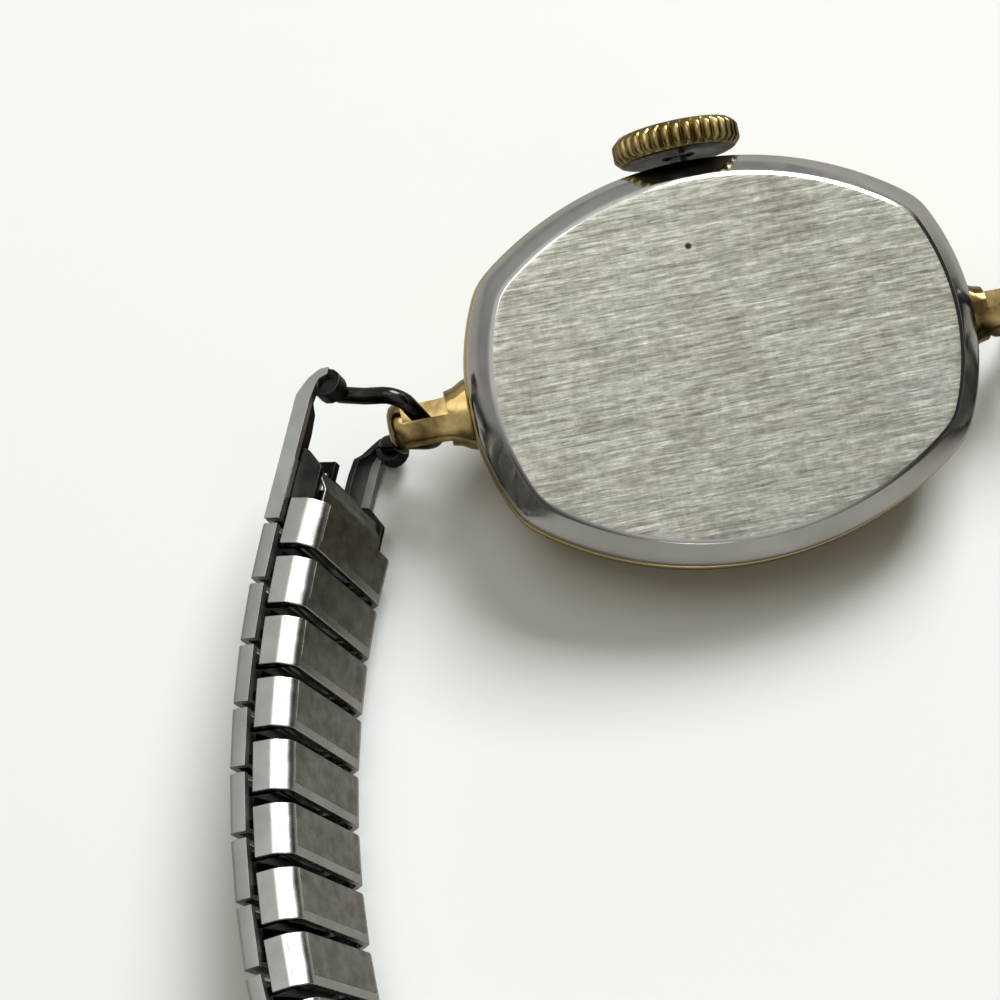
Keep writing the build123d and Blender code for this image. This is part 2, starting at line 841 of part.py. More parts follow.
# Balance, fork and click

def balance_wheel():
    bottom = balance_depth + balance_thickness
    wheel = disc(balance_radius, balance_depth, bottom, balance_at)
    wheel -= disc(balance_radius - balance_rim, balance_depth - overrun, bottom + overrun, balance_at)
    wheel += block(balance_radius * 2 - balance_rim, spoke_width, balance_depth, bottom, balance_at)
    wheel += rod(staff_radius, bridge_top + pivot_depth / 2, plate_top + pivot_depth, balance_at)
    return wheel + rod(roller_radius, roller_depth, roller_depth + fork_thickness, balance_at)


def hairspring():
    outer = hairspring_radius
    return spiral(hairspring_inner, outer, hairspring_turns, hairspring_strip, hairspring_depth,
                  hairspring_depth + hairspring_height, balance_at)


fork_at = (escape_at[0] + (balance_x - escape_at[0]) * fork_share,
           escape_at[1] + (balance_y - escape_at[1]) * fork_share)


def pallet_fork():
    # a lever between the escape wheel and the roller, with two pallet arms
    toward = degrees(atan2(balance_y - fork_at[1], balance_x - fork_at[0]))
    distance = hypot(balance_x - fork_at[0], balance_y - fork_at[1])
    reach = distance - roller_radius - running_gap
    top = roller_depth - fork_thickness * 2
    bottom = roller_depth - fork_thickness
    plan = Pos(reach / 2, 0, 0) * Rectangle(reach, fork_half_width * 2)
    arms = Rectangle(fork_half_width * 2, fork_arm * 2)
    place = Pos(fork_at[0], fork_at[1], 0) * Rot(0, 0, toward)
    body = slab(place * plan, top, bottom) + slab(place * arms, top, bottom)
    return body + rod(arbor_radius, bridge_bottom + pivot_depth, plate_top, fork_at)


click_at = polar(barrel_at, ratchet_radius + click_reach, click_angle)


def click():
    # a pawl on the barrel bridge, its tip held against the ratchet's teeth
    tip_distance = click_reach - ratchet_radius * tip_share * 2 / ratchet_teeth - running_gap
    bottom = ratchet_depth + ratchet_thickness
    place = Pos(click_at[0], click_at[1], 0) * Rot(0, 0, click_angle + 180)
    plan = polygon([
        (0, -click_radius),
        (tip_distance, -click_tip_half_width),
        (tip_distance, click_tip_half_width),
        (0, click_radius),
    ])
    body = rod(click_radius, ratchet_depth, bottom, click_at) + slab(place * plan, ratchet_depth, bottom)
    return body


def click_spring():
    # a thin strip along the edge of the bridge, behind the click
    bottom = ratchet_depth + ratchet_thickness
    start = (click_at[0] - click_radius - click_spring_strip, click_at[1])
    middle = (start[0], start[1] + click_spring_length / 2)
    return block(click_spring_strip, click_spring_length, ratchet_depth, bottom, middle)


# Keyless pieces

def crown():
    # a fluted band between two smooth bevels, with a low dome outside
    step = 360 / crown_flutes
    points = []
    for flute in range(crown_flutes):
        angle = flute * step
        points.append(polar((0, 0), crown_radius, angle - step * flute_tip_share / 2))
        points.append(polar((0, 0), crown_radius, angle + step * flute_tip_share / 2))
        points.append(polar((0, 0), crown_radius - flute_depth, angle + step / 2))
    band = crown_thickness - crown_chamfer * 2
    crown_top = crown_thickness + crown_cap_rise
    body = Pos(0, 0, crown_chamfer) * extrude(polygon(points), amount=band, dir=(0, 0, 1))
    full = crown_radius - flute_depth - running_gap
    edge = full - crown_chamfer
    body += bevel_between(edge, full, 0, crown_chamfer)
    body += bevel_between(full, edge, crown_thickness - crown_chamfer, crown_thickness)
    cap = bevel_between(edge - crown_chamfer, edge - crown_chamfer * 3, crown_thickness, crown_top)
    return along_crown(body + cap, crown_base)


def bevel_between(start_radius, end_radius, start, end):
    start_face = Pos(0, 0, start) * RegularPolygon(start_radius, wheel_sides)
    return loft([start_face, Pos(0, 0, end) * RegularPolygon(end_radius, wheel_sides)], ruled=True)


def winding_stem():
    body = stem_rod(stem_radius, groove_start + groove_width, crown_base)
    body += stem_rod(stem_neck_radius, groove_start, groove_start + groove_width)
    body += stem_rod(stem_radius, stem_collar_start, groove_start)
    length = stem_collar_start - stem_inner_end
    square = Box(stem_square, length, stem_square)
    return body + Pos(0, stem_inner_end + length / 2, -stem_depth) * square


def keyless_wheel(radius, start, length):
    pitch_radius = radius * keyless_teeth / (keyless_teeth + tip_share * 2)
    wheel = toothed(keyless_teeth, pitch_radius, -length, 0)
    half = stem_square / 2 + running_gap
    return along_crown(wheel - block(half * 2, half * 2, -length - overrun, overrun), start)


def setting_lever():
    # lies on the mainplate and holds the stem's groove with its pin
    top = plate_top - lever_thickness
    bottom = plate_top - pivot_gap / 2
    middle_y = groove_start + groove_width / 2
    width = groove_width - running_gap
    end = -lever_pin_half_width - lever_length
    arm = block(lever_length, width, top, bottom, (end + lever_length / 2, middle_y))
    foot_y = middle_y + width / 2 - lever_foot_width / 2
    arm += block(lever_foot_length, lever_foot_width, top, bottom, (end + lever_foot_length / 2, foot_y))
    pin_top = stem_depth + stem_neck_radius + running_gap
    pin = block(lever_pin_half_width * 2, width, pin_top, bottom, (0, middle_y))
    return arm + pin


# Bracelet, left side: distance s runs along the path from the far middle towards the lug

def path_at(s):
    # the point on the path and the direction towards the lug, seen from above
    if s <= bow_quarter:
        turn = s / bow_radius
        point = (-bow_radius * sin(turn), bow_centre_y - bow_radius * cos(turn))
        return point, (-cos(turn), sin(turn))
    turn = (s - bow_quarter) / side_radius
    point = (-bow_radius + side_radius * (1 - cos(turn)), bow_centre_y + side_radius * sin(turn))
    return point, (sin(turn), cos(turn))


def up_at(direction):
    # the bracelet's width direction, leaning outwards
    outward = (-direction[1], direction[0])
    return (outward[0] * sin(LEAN), outward[1] * sin(LEAN), cos(LEAN))


def band_frame(s, forward=0.0):
    # x towards the lug, y outwards through the band, z across its width
    point, direction = path_at(s)
    origin = (point[0] + direction[0] * forward, point[1] + direction[1] * forward, band_middle)
    plane = Plane(origin=origin, x_dir=(direction[0], direction[1], 0), z_dir=up_at(direction))
    return plane.location


def end_up():
    point, direction = path_at(band_end)
    return up_at(direction)


def across(points, length):
    # a section in y and z, run along the band
    face = Plane.YZ * polygon(points)
    return extrude(Pos(-length / 2, 0, 0) * face, amount=length, dir=(1, 0, 0))


def outer_sleeve(length=outer_length):
    half = band_width / 2
    skin = band_thickness / 2
    low = row_split + row_gap / 2
    return across([
        (low, -half), (skin - outer_bevel, -half), (skin, -half + outer_bevel),
        (skin, half - outer_bevel), (skin - outer_bevel, half), (low, half),
        (low, half - side_sheet), (skin - sheet, half - side_sheet),
        (skin - sheet, side_sheet - half), (low, side_sheet - half),
    ], length)


def inner_sleeve():
    half = band_width / 2
    skin = -band_thickness / 2
    low = row_split - row_gap / 2
    knee = skin + inner_bevel_rise
    flat = half - inner_bevel_reach
    return across([
        (low, -half), (knee, -half), (skin, -flat), (skin, flat), (knee, half), (low, half),
        (low, half - side_sheet), (skin + sheet, flat - sheet),
        (skin + sheet, sheet - flat), (low, side_sheet - half),
    ], inner_length)


def clips():
    height = band_thickness - sheet * 2 - running_gap * 2
    bar = Box(clip_width, height, clip_thickness)
    place = band_width / 2 - clip_inset
    return [Pos(0, 0, place) * bar, Pos(0, 0, -place) * bar]


def leaf_spring():
    top = band_thickness / 2 - sheet
    half = leaf_half_length
    return across([(top, -half), (top - leaf_bow, 0), (top, half), (top - leaf_bow - leaf_sheet, 0)],
                  outer_length / 2)


def link_pair(number, joined):
    # two pitches that move as one: pair 1 lies next to the end piece, and the last pair
    # of the joined side also holds the inner sleeve at the far middle
    pieces = []
    last = number * pitches_per_body
    for index in range(last - pitches_per_body, last):
        s = band_end - pitch * (index + 0.5)
        pieces += [band_frame(s) * outer_sleeve(outer_length), band_frame(s) * leaf_spring()]
        pieces.append(band_frame(s + pitch / 2) * inner_sleeve())
        pieces += [band_frame(s + pitch / 4) * clip for clip in clips()]
        if joined or index < pitches_per_side - 1:
            pieces += [band_frame(s - pitch / 4) * clip for clip in clips()]
    if joined and last == pitches_per_side:
        pieces.append(band_frame(0) * inner_sleeve())
    return pieces


# End pieces and rings

def vector_to(start, end):
    return Vector(*[b - a for a, b in zip(start, end)])


hinge_point = tuple(band_frame(band_end, end_length).position)
lug_hole = tuple((head_place * Location((-lug_hole_x, 0, -lug_axis_depth))).position)
width_way = Vector(*end_up())
ring_offset = vector_to(hinge_point, lug_hole).dot(width_way)
ring_way = vector_to(hinge_point, lug_hole) - width_way * ring_offset
ring_depth = ring_way.length


def end_piece():
    # a shell over the last clips, with side walls and two arms that are rolled round the ring's pins
    shell = Pos(end_gap + end_shell / 2, 0, 0) * outer_sleeve(end_shell)
    body = shell + cross_block()
    for sign in (-1, 1):
        body += end_wall(sign) + end_arm(sign)
    bore = RegularPolygon(ring_wire_radius + ring_gap, wire_sides, major_radius=False)
    body -= extrude(Pos(end_length, 0, 0) * bore, amount=band_width, both=True)
    return band_frame(band_end) * body


def end_wall(sign):
    # a side wall that tapers towards the lug
    skin = band_thickness / 2
    face = polygon([
        (end_wall_start, -end_wall_low),
        (end_block_end, -end_wall_low),
        (end_wall_end, skin - arm_sheet - end_wall_tip),
        (end_wall_end, skin - arm_sheet),
        (end_wall_start, skin - arm_sheet),
    ])
    start = sign * band_width / 2
    return extrude(Pos(0, 0, start) * face, amount=side_sheet, dir=(0, 0, -sign))


def end_arm(sign):
    # the arm lies in the shell's skin, and its end is rolled inwards to a knuckle
    skin = band_thickness / 2
    start = end_gap + end_shell - side_sheet
    across_middle = sign * (band_width - arm_width) / 2
    arm = Box(end_length - start, arm_sheet, arm_width)
    body = Pos((end_length + start) / 2, skin - arm_sheet / 2, across_middle) * arm
    root = Box(knuckle_radius, skin, arm_width)
    body += Pos(end_length - knuckle_radius / 2, skin / 2, across_middle) * root
    roll = extrude(RegularPolygon(knuckle_radius, knuckle_sides), amount=arm_width / 2, both=True)
    return body + Pos(end_length, 0, across_middle) * roll


def cross_block():
    # stiffens the shell's open end between the arms
    height = band_thickness / 2 - end_block_low
    bar = Box(end_block_end - end_block_start, height, end_block_half_width * 2)
    return Pos((end_block_end + end_block_start) / 2, end_block_low + height / 2, 0) * bar


def end_tongue():
    # the spring tongue between the side walls, closing the inner side of the shell
    width = band_width - side_sheet * 2
    leaf = Box(tongue_end - end_wall_start, sheet, width)
    middle = (tongue_end + end_wall_start) / 2
    return band_frame(band_end) * Pos(middle, tongue_rise - band_thickness / 2, 0) * leaf


def end_clips():
    return [band_frame(band_end + pitch / 4) * clip for clip in clips()]


def end_ring():
    # a wire loop through the lug's slot: its two ends are bent outwards into the arms' knuckles
    plane = Plane(origin=hinge_point, x_dir=ring_way, z_dir=ring_way.cross(width_way))
    bend = ring_corner_radius
    far = ring_depth - bend
    low = bend - ring_half_height
    corners = [
        (bend, low - bend * 2, 180, 90), (far, low, -90, 0), (far, -low, 0, 90), (bend, bend * 2 - low, 270, 180),
    ]
    points = [(0, -ring_pin_reach)]
    for x, y, first, last in corners:
        for step in range(ring_corner_steps + 1):
            points.append(polar((x, y), bend, first + (last - first) * step / ring_corner_steps))
    points.append((0, ring_pin_reach))
    path = Wire(Polyline(*points))
    start = Plane(origin=path @ 0, z_dir=path % 0)
    wire = sweep(start * RegularPolygon(ring_wire_radius, wire_sides), path=path, transition=Transition.RIGHT)
    return plane.location * wire


def build_head():
    save_head("case_back", case_back())
    save_head("bezel", bezel(), crown_tube())
    save_head("crystal", crystal())
    save_head("spacer_ring", spacer_ring())
    save_head("dial", dial())
    save_head("hour_markers", *hour_markers())
    save_head("hour_hand", hand(hour_hand_length, hour_hand_depth, hour_pipe))
    save_head("minute_hand", hand(minute_hand_length, minute_hand_depth, cannon_pipe))
    save_head("cannon_pinion", cannon_pinion())
    save_head("minute_wheel", minute_wheel())
    save_head("hour_wheel", hour_wheel())
    save_head("mainplate", mainplate())
    save_head("barrel_bridge", barrel_bridge())
    save_head("train_bridge", train_bridge())
    save_head("balance_cock", balance_cock())
    save_head("movement_screws", wheel_screw(), *bridge_screws())
    save_head("jewels", *jewels())
    save_head("barrel", barrel(), barrel_cover_plate())
    save_head("mainspring", mainspring())
    save_head("barrel_arbor", barrel_arbor())
    save_head("ratchet_wheel", ratchet_wheel())
    save_head("crown_wheel", crown_wheel())
    save_head("centre_wheel", centre_wheel())
    save_head("third_wheel", third_wheel())
    save_head("fourth_wheel", fourth_wheel())
    save_head("escape_wheel", escape_wheel())
    save_head("balance_wheel", balance_wheel())
    save_head("hairspring", hairspring())
    save_head("pallet_fork", pallet_fork())
    save_head("click", click())
    save_head("click_spring", click_spring())
    save_head("crown", crown())
    save_head("winding_stem", winding_stem())
    save_head("winding_pinion",
              keyless_wheel(winding_pinion_radius, winding_pinion_start, winding_pinion_length))
    save_head("sliding_pinion",
              keyless_wheel(sliding_pinion_radius, sliding_pinion_start, sliding_pinion_length))
    save_head("setting_lever", setting_lever())


def build_bracelet():
    ends = {"end_ring": [end_ring()], "end_piece": [end_piece(), end_tongue(), *end_clips()]}
    for name, pieces in ends.items():
        save(f"left_{name}", *pieces)
        save(f"right_{name}", *[mirror(piece, about=Plane.YZ) for piece in pieces])
    for number in range(1, pitches_per_side // pitches_per_body + 1):
        save(f"left_links_{number:02d}", *link_pair(number, True))
        right = [mirror(piece, about=Plane.YZ) for piece in link_pair(number, False)]
        save(f"right_links_{number:02d}", *right)


os.makedirs("parts", exist_ok=True)
build_head()
build_bracelet()
print("bracelet length along the middle", round(band_end * 2, 1))
print("ring depth", round(ring_depth, 2), "ring offset", round(ring_offset, 2))
print("lug slot angles", [round(angle, 1) for angle in slot_angles()])
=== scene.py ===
import bpy
import bmesh
import json
from math import acos, atan2, cos, pi, radians, sin, sqrt, tan
from mathutils import Matrix, Vector


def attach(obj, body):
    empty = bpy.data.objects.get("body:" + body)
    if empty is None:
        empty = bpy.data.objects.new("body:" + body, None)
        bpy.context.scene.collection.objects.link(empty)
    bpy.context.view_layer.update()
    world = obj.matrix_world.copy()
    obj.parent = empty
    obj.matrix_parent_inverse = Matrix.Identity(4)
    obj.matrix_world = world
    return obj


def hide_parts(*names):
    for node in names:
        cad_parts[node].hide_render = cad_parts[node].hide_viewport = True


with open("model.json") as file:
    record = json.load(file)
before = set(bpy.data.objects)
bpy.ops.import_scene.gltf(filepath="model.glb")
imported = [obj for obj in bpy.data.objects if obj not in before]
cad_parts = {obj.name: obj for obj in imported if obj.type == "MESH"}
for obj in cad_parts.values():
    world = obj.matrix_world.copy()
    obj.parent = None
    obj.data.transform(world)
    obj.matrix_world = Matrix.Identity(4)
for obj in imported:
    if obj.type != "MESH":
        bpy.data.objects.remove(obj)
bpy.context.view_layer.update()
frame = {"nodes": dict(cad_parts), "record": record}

mm = 0.001
weldDistance = 1e-7

# The head's own frame: back plate at z = 0, front downwards, lugs along x, crown at +y
backMount = frame["record"]["mounts"][0]
plateCentre = Vector(backMount["pos_m"])
plateNormal = Vector(backMount["axis"])
headTilt = atan2(-plateNormal.y, plateNormal.z)
headPlace = Matrix.Translation(plateCentre) @ Matrix.Rotation(headTilt, 4, "X")
mirrorX = Matrix.Diagonal((-1, 1, 1, 1))

caseOval = {
    "halfLength": 9.2, "halfWidth": 7.13,  # the flat plate
    "cornerX": 8.17, "cornerY": 4.21, "cornerShare": 0.72, "softening": 3, "stepsPerSide": 40,
}

band = {
    "width": 6.2, "thickness": 2.4, "lean": radians(23),
    "pitch": 2.4, "pitchesPerSide": 20, "pitchesPerBody": 2,
    "bowRadius": 19.9, "endX": -16.607, "endY": -3.1983,
    "outerLength": 2.25, "innerLength": 1.94, "rowGap": 0.3, "rowSplit": 0.35, "sheet": 0.28,
}


# Mesh helpers. Shapes are drawn in millimetres and set down in metres.

def newObject(name, points, faces, place, mirrored=False):
    mesh = bpy.data.meshes.new(name)
    mesh.from_pydata([Vector(p) * mm for p in points], [], faces)
    mesh.transform(place)
    if mirrored:
        mesh.transform(mirrorX)
    edit = bmesh.new()
    edit.from_mesh(mesh)
    bmesh.ops.remove_doubles(edit, verts=edit.verts, dist=weldDistance)
    bmesh.ops.recalc_face_normals(edit, faces=edit.faces)
    edit.to_mesh(mesh)
    edit.free()
    obj = bpy.data.objects.new(name, mesh)
    bpy.context.scene.collection.objects.link(obj)
    return obj


def loftRings(rings, closeStart=False, closeEnd=False, loop=False):
    # rings of equal length, joined by quads
    points = [p for ring in rings for p in ring]
    count = len(rings[0])
    faces = []
    last = len(rings) if loop else len(rings) - 1
    for r in range(last):
        a = r * count
        b = (r + 1) % len(rings) * count
        for k in range(count):
            n = (k + 1) % count
            faces.append((a + k, a + n, b + n, b + k))
    if closeStart:
        faces.append(tuple(range(count - 1, -1, -1)))
    if closeEnd:
        faces.append(tuple(range(len(points) - count, len(points))))
    return points, faces


def prism(section, start, end):
    # a section in y and z run along x
    rings = [[(start, y, z) for y, z in section], [(end, y, z) for y, z in section]]
    return loftRings(rings, True, True)


def joinShapes(shapes):
    points, faces = [], []
    for shapePoints, shapeFaces in shapes:
        offset = len(points)
        points += shapePoints
        faces += [tuple(i + offset for i in face) for face in shapeFaces]
    return points, faces


def movedShape(shape, matrix):
    points, faces = shape
    return [tuple(matrix @ Vector(p)) for p in points], faces


def boxShape(size, centre):
    hx, hy, hz = (s / 2 for s in size)
    cx, cy, cz = centre
    section = [(cy - hy, cz - hz), (cy + hy, cz - hz), (cy + hy, cz + hz), (cy - hy, cz + hz)]
    return prism(section, cx - hx, cx + hx)


def soften(obj, width, angle):
    bevel = obj.modifiers.new("edges", "BEVEL")
    bevel.width = width * mm
    bevel.segments = 2
    bevel.limit_method = "ANGLE"
    bevel.angle_limit = radians(angle)
    bevel.harden_normals = True
    bevel.use_clamp_overlap = True


def smooth(obj, angle):
    for polygon in obj.data.polygons:
        polygon.use_smooth = True
    obj.data.set_sharp_from_angle(angle=radians(angle))


def dress(obj, body, slot, material, *nodes):
    obj.data.materials.clear()
    obj.data.materials.append(material)
    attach(obj, body)
    if nodes:
        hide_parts(*nodes)


# Materials

def newMaterial(name):
    material = bpy.data.materials.new(name)
    material.use_nodes = True
    nodes = material.node_tree.nodes
    return material, nodes, material.node_tree.links, nodes["Principled BSDF"]


def noise(nodes, links, scale, detail, stretch=(1, 1, 1), roughness=0.55):
    where = nodes.new("ShaderNodeTexCoord")
    mapping = nodes.new("ShaderNodeMapping")
    mapping.inputs["Scale"].default_value = stretch
    texture = nodes.new("ShaderNodeTexNoise")
    texture.inputs["Scale"].default_value = scale
    texture.inputs["Detail"].default_value = detail
    texture.inputs["Roughness"].default_value = roughness
    links.new(where.outputs["Object"], mapping.inputs["Vector"])
    links.new(mapping.outputs["Vector"], texture.inputs["Vector"])
    return texture.outputs["Fac"]


def ramp(nodes, links, source, stops):
    node = nodes.new("ShaderNodeValToRGB")
    elements = node.color_ramp.elements
    while len(elements) < len(stops):
        elements.new(0.5)
    for element, (position, colour) in zip(elements, stops):
        element.position = position
        element.color = (*colour, 1)
    links.new(source, node.inputs["Fac"])
    return node.outputs["Color"]


def spread(nodes, links, source, low, high, fromLow=0.3, fromHigh=0.7):
    node = nodes.new("ShaderNodeMapRange")
    node.inputs["From Min"].default_value = fromLow
    node.inputs["From Max"].default_value = fromHigh
    node.inputs["To Min"].default_value = low
    node.inputs["To Max"].default_value = high
    links.new(source, node.inputs["Value"])
    return node.outputs["Result"]


def bump(nodes, links, source, distance, under=None):
    node = nodes.new("ShaderNodeBump")
    node.inputs["Distance"].default_value = distance * mm
    node.inputs["Strength"].default_value = 1.0
    links.new(source, node.inputs["Height"])
    if under:
        links.new(under, node.inputs["Normal"])
    return node.outputs["Normal"]


def distanceTo(nodes, links, point):
    where = nodes.new("ShaderNodeTexCoord")
    node = nodes.new("ShaderNodeVectorMath")
    node.operation = "DISTANCE"
    links.new(where.outputs["Object"], node.inputs[0])
    node.inputs[1].default_value = point
    return node.outputs["Value"]


def mixColours(nodes, links, factor, first, second):
    node = nodes.new("ShaderNodeMix")
    node.data_type = "RGBA"
    links.new(factor, node.inputs["Factor"])
    for socket, value in ((node.inputs["A"], first), (node.inputs["B"], second)):
        if isinstance(value, tuple):
            socket.default_value = (*value, 1)
        else:
            links.new(value, socket)
    return node.outputs["Result"]


def multiplied(nodes, links, first, second):
    node = nodes.new("ShaderNodeMix")
    node.data_type = "RGBA"
    node.blend_type = "MULTIPLY"
    node.inputs["Factor"].default_value = 1.0
    links.new(first, node.inputs["A"])
    links.new(second, node.inputs["B"])
    return node.outputs["Result"]


def metal(name, light, dark, roughness, grainScale=900, grainDepth=0.002, patchScale=350):
    # a metal with patches of two tones, a fine grain and an uneven polish
    material, nodes, links, shader = newMaterial(name)
    patches = noise(nodes, links, patchScale, 3)
    fine = noise(nodes, links, grainScale, 6)
    colour = ramp(nodes, links, patches, [(0.32, dark), (0.68, light)])
    links.new(colour, shader.inputs["Base Color"])
    links.new(spread(nodes, links, fine, *roughness), shader.inputs["Roughness"])
    links.new(bump(nodes, links, fine, grainDepth), shader.inputs["Normal"])
    shader.inputs["Metallic"].default_value = 1.0
    return material


print("materials")
polishedSteel = metal("polishedSteel", (0.65, 0.645, 0.62), (0.54, 0.535, 0.51), (0.08, 0.22),
                      grainDepth=0.0012)
bandSteel = metal("bandSteel", (0.54, 0.535, 0.515), (0.43, 0.425, 0.405), (0.2, 0.34), 1500, 0.0025, 700)
# darker steel: painted shade for the panels on the inner sleeves and for the end block and tongue
shadedPanelSteel = metal("shadedPanelSteel", (0.36, 0.355, 0.325), (0.2, 0.195, 0.175), (0.3, 0.46), 2600, 0.006, 1500)
outerSteel = metal("outerSteel", (0.48, 0.48, 0.46), (0.41, 0.41, 0.39), (0.34, 0.5), 1500, 0.0012)
# near-black steel: painted shade for the clips, spring leaves, end arms and the parts inside the end piece,
# which sit in shaded gaps
shadedSteel = metal("shadedSteel", (0.045, 0.044, 0.04), (0.015, 0.0145, 0.013), (0.3, 0.5),
                  grainDepth=0.003, patchScale=900)
goldPlate = metal("goldPlate", (0.52, 0.385, 0.16), (0.09, 0.06, 0.02), (0.08, 0.22), 500, 0.006, 800)
bezelGold = metal("bezelGold", (0.74, 0.58, 0.29), (0.64, 0.49, 0.23), (0.1, 0.22), 1200, 0.0015)
printDark = metal("printDark", (0.06, 0.055, 0.05), (0.04, 0.037, 0.033), (0.4, 0.5), grainDepth=0.0005)
crownGold = metal("crownGold", (0.37, 0.275, 0.11), (0.15, 0.11, 0.04), (0.12, 0.3),
                  grainDepth=0.0015, patchScale=700)
# near-black gold: painted shade for the crown's inner face
shadedCrownGold = metal("shadedCrownGold", (0.045, 0.034, 0.018), (0.02, 0.016, 0.01), (0.3, 0.5))
ringSteel = metal("ringSteel", (0.07, 0.068, 0.062), (0.025, 0.024, 0.022), (0.12, 0.28),
                  grainDepth=0.0015, patchScale=900)
giltBrass = metal("giltBrass", (0.80, 0.64, 0.36), (0.66, 0.50, 0.26), (0.2, 0.34), grainDepth=0.001)
nickel = metal("nickel", (0.70, 0.69, 0.66), (0.60, 0.59, 0.56), (0.2, 0.32), grainDepth=0.001)
bluedSteel = metal("bluedSteel", (0.06, 0.09, 0.24), (0.04, 0.05, 0.14), (0.12, 0.25), grainDepth=0.001)


plateFinish = {
    "streaks": (900, 15000, 15000), "long": (260, 5200, 5200), "cross": (7000, 1100, 1100),
    "speckle": (2400, 6000, 6000), "patches": 480, "roughness": (0.3, 0.48),
    "streakDepth": 0.006, "crossDepth": 0.003, "longDepth": 0.012,
    "pitPlace": (-0.65, 4.47, 0), "pitRadius": 0.17, "pitColour": (0.03, 0.03, 0.028),
}


def brushedPlate():
    # fine straight brushing along the lugs, broken up, stained in soft patches, with one small pit
    material, nodes, links, shader = newMaterial("brushedPlate")

    def grain(name, detail, roughness=0.55):
        return noise(nodes, links, 1.0, detail, plateFinish[name], roughness)

    streaks = grain("streaks", 6, 0.7)
    long = grain("long", 4, 0.6)
    cross = grain("cross", 3)
    patches = noise(nodes, links, plateFinish["patches"], 4)
    speckle = grain("speckle", 3, 0.6)
    colour = ramp(nodes, links, streaks, [
        (0.3, (0.34, 0.335, 0.32)), (0.5, (0.62, 0.615, 0.595)), (0.7, (0.92, 0.915, 0.89))])
    for source, stops in (
            (long, [(0.32, (0.62, 0.615, 0.59)), (0.62, (1.0, 1.0, 0.98))]),
            (cross, [(0.35, (0.9, 0.895, 0.88)), (0.6, (1.0, 1.0, 0.985))]),
            (speckle, [(0.35, (0.78, 0.775, 0.76)), (0.55, (1.0, 1.0, 0.99)), (0.72, (1.25, 1.25, 1.22))]),
            (patches, [(0.3, (0.80, 0.775, 0.735)), (0.5, (0.93, 0.93, 0.87)), (0.7, (1.0, 0.99, 0.97))])):
        colour = multiplied(nodes, links, colour, ramp(nodes, links, source, stops))
    radius = plateFinish["pitRadius"] * mm
    reach = distanceTo(nodes, links, headPlace @ (Vector(plateFinish["pitPlace"]) * mm))
    pit = spread(nodes, links, reach, 1.0, 0.0, radius * 0.5, radius)
    colour = mixColours(nodes, links, pit, colour, plateFinish["pitColour"])
    links.new(colour, shader.inputs["Base Color"])
    links.new(spread(nodes, links, streaks, *plateFinish["roughness"]), shader.inputs["Roughness"])
    normal = bump(nodes, links, streaks, plateFinish["streakDepth"])
    normal = bump(nodes, links, cross, plateFinish["crossDepth"], normal)
    links.new(bump(nodes, links, long, plateFinish["longDepth"], normal), shader.inputs["Normal"])
    shader.inputs["Metallic"].default_value = 1.0
    return material


plateSteel = brushedPlate()


def clearMaterial(name, colour, roughness, transmission):
    # a clear piece, faintly smudged
    material, nodes, links, shader = newMaterial(name)
    smudge = noise(nodes, links, 300, 3)
    paler = tuple(min(1, c * 1.04) for c in colour)
    links.new(ramp(nodes, links, smudge, [(0.3, colour), (0.7, paler)]), shader.inputs["Base Color"])
    links.new(spread(nodes, links, smudge, roughness, roughness + 0.06), shader.inputs["Roughness"])
    shader.inputs["Transmission Weight"].default_value = transmission
    shader.inputs["IOR"].default_value = 1.49
    return material


crystalClear = clearMaterial("crystalClear", (0.95, 0.97, 0.96), 0.02, 0.95)
rubyRed = clearMaterial("rubyRed", (0.55, 0.03, 0.10), 0.05, 0.4)


def dialFinish():
    # cream paint with a fine grain, uneven with age
    material, nodes, links, shader = newMaterial("dialFinish")
    grain = noise(nodes, links, 2500, 4)
    age = noise(nodes, links, 250, 3)
    links.new(ramp(nodes, links, age, [(0.35, (0.80, 0.75, 0.62)), (0.65, (0.88, 0.85, 0.76))]),
              shader.inputs["Base Color"])
    links.new(spread(nodes, links, grain, 0.3, 0.45), shader.inputs["Roughness"])
    links.new(bump(nodes, links, grain, 0.001), shader.inputs["Normal"])
    shader.inputs["Metallic"].default_value = 0.3
    return material


dialCream = dialFinish()

slotMaterials = {
    "steel_brushed": bandSteel, "steel_polished": polishedSteel, "gold": goldPlate, "gilt": giltBrass,
    "nickel": nickel, "blued_steel": bluedSteel, "ruby": rubyRed, "crystal": crystalClear, "dial": dialCream,
}
for entry in frame["record"]["subparts"]:
    node = frame["nodes"][entry["node"]]
    node.data.materials.clear()
    node.data.materials.append(slotMaterials[entry["material_slot"]])
    smooth(node, 25)


# Case

def arcPoints(start, middle, end, count):
    # points along the circle through three points, the last one left out
    ax, ay = start
    bx, by = middle
    cx, cy = end
    aa, bb, cc = ax * ax + ay * ay, bx * bx + by * by, cx * cx + cy * cy
    d = 2 * (ax * (by - cy) + bx * (cy - ay) + cx * (ay - by))
    ux = (aa * (by - cy) + bb * (cy - ay) + cc * (ay - by)) / d
    uy = (aa * (cx - bx) + bb * (ax - cx) + cc * (bx - ax)) / d
    radius = sqrt((ax - ux) ** 2 + (ay - uy) ** 2)
    first = atan2(ay - uy, ax - ux)
    turn = atan2(cy - uy, cx - ux) - first
    while turn > pi:
        turn -= 2 * pi
    while turn < -pi:
        turn += 2 * pi
    return [(ux + radius * cos(first + turn * k / count), uy + radius * sin(first + turn * k / count))
            for k in range(count)]


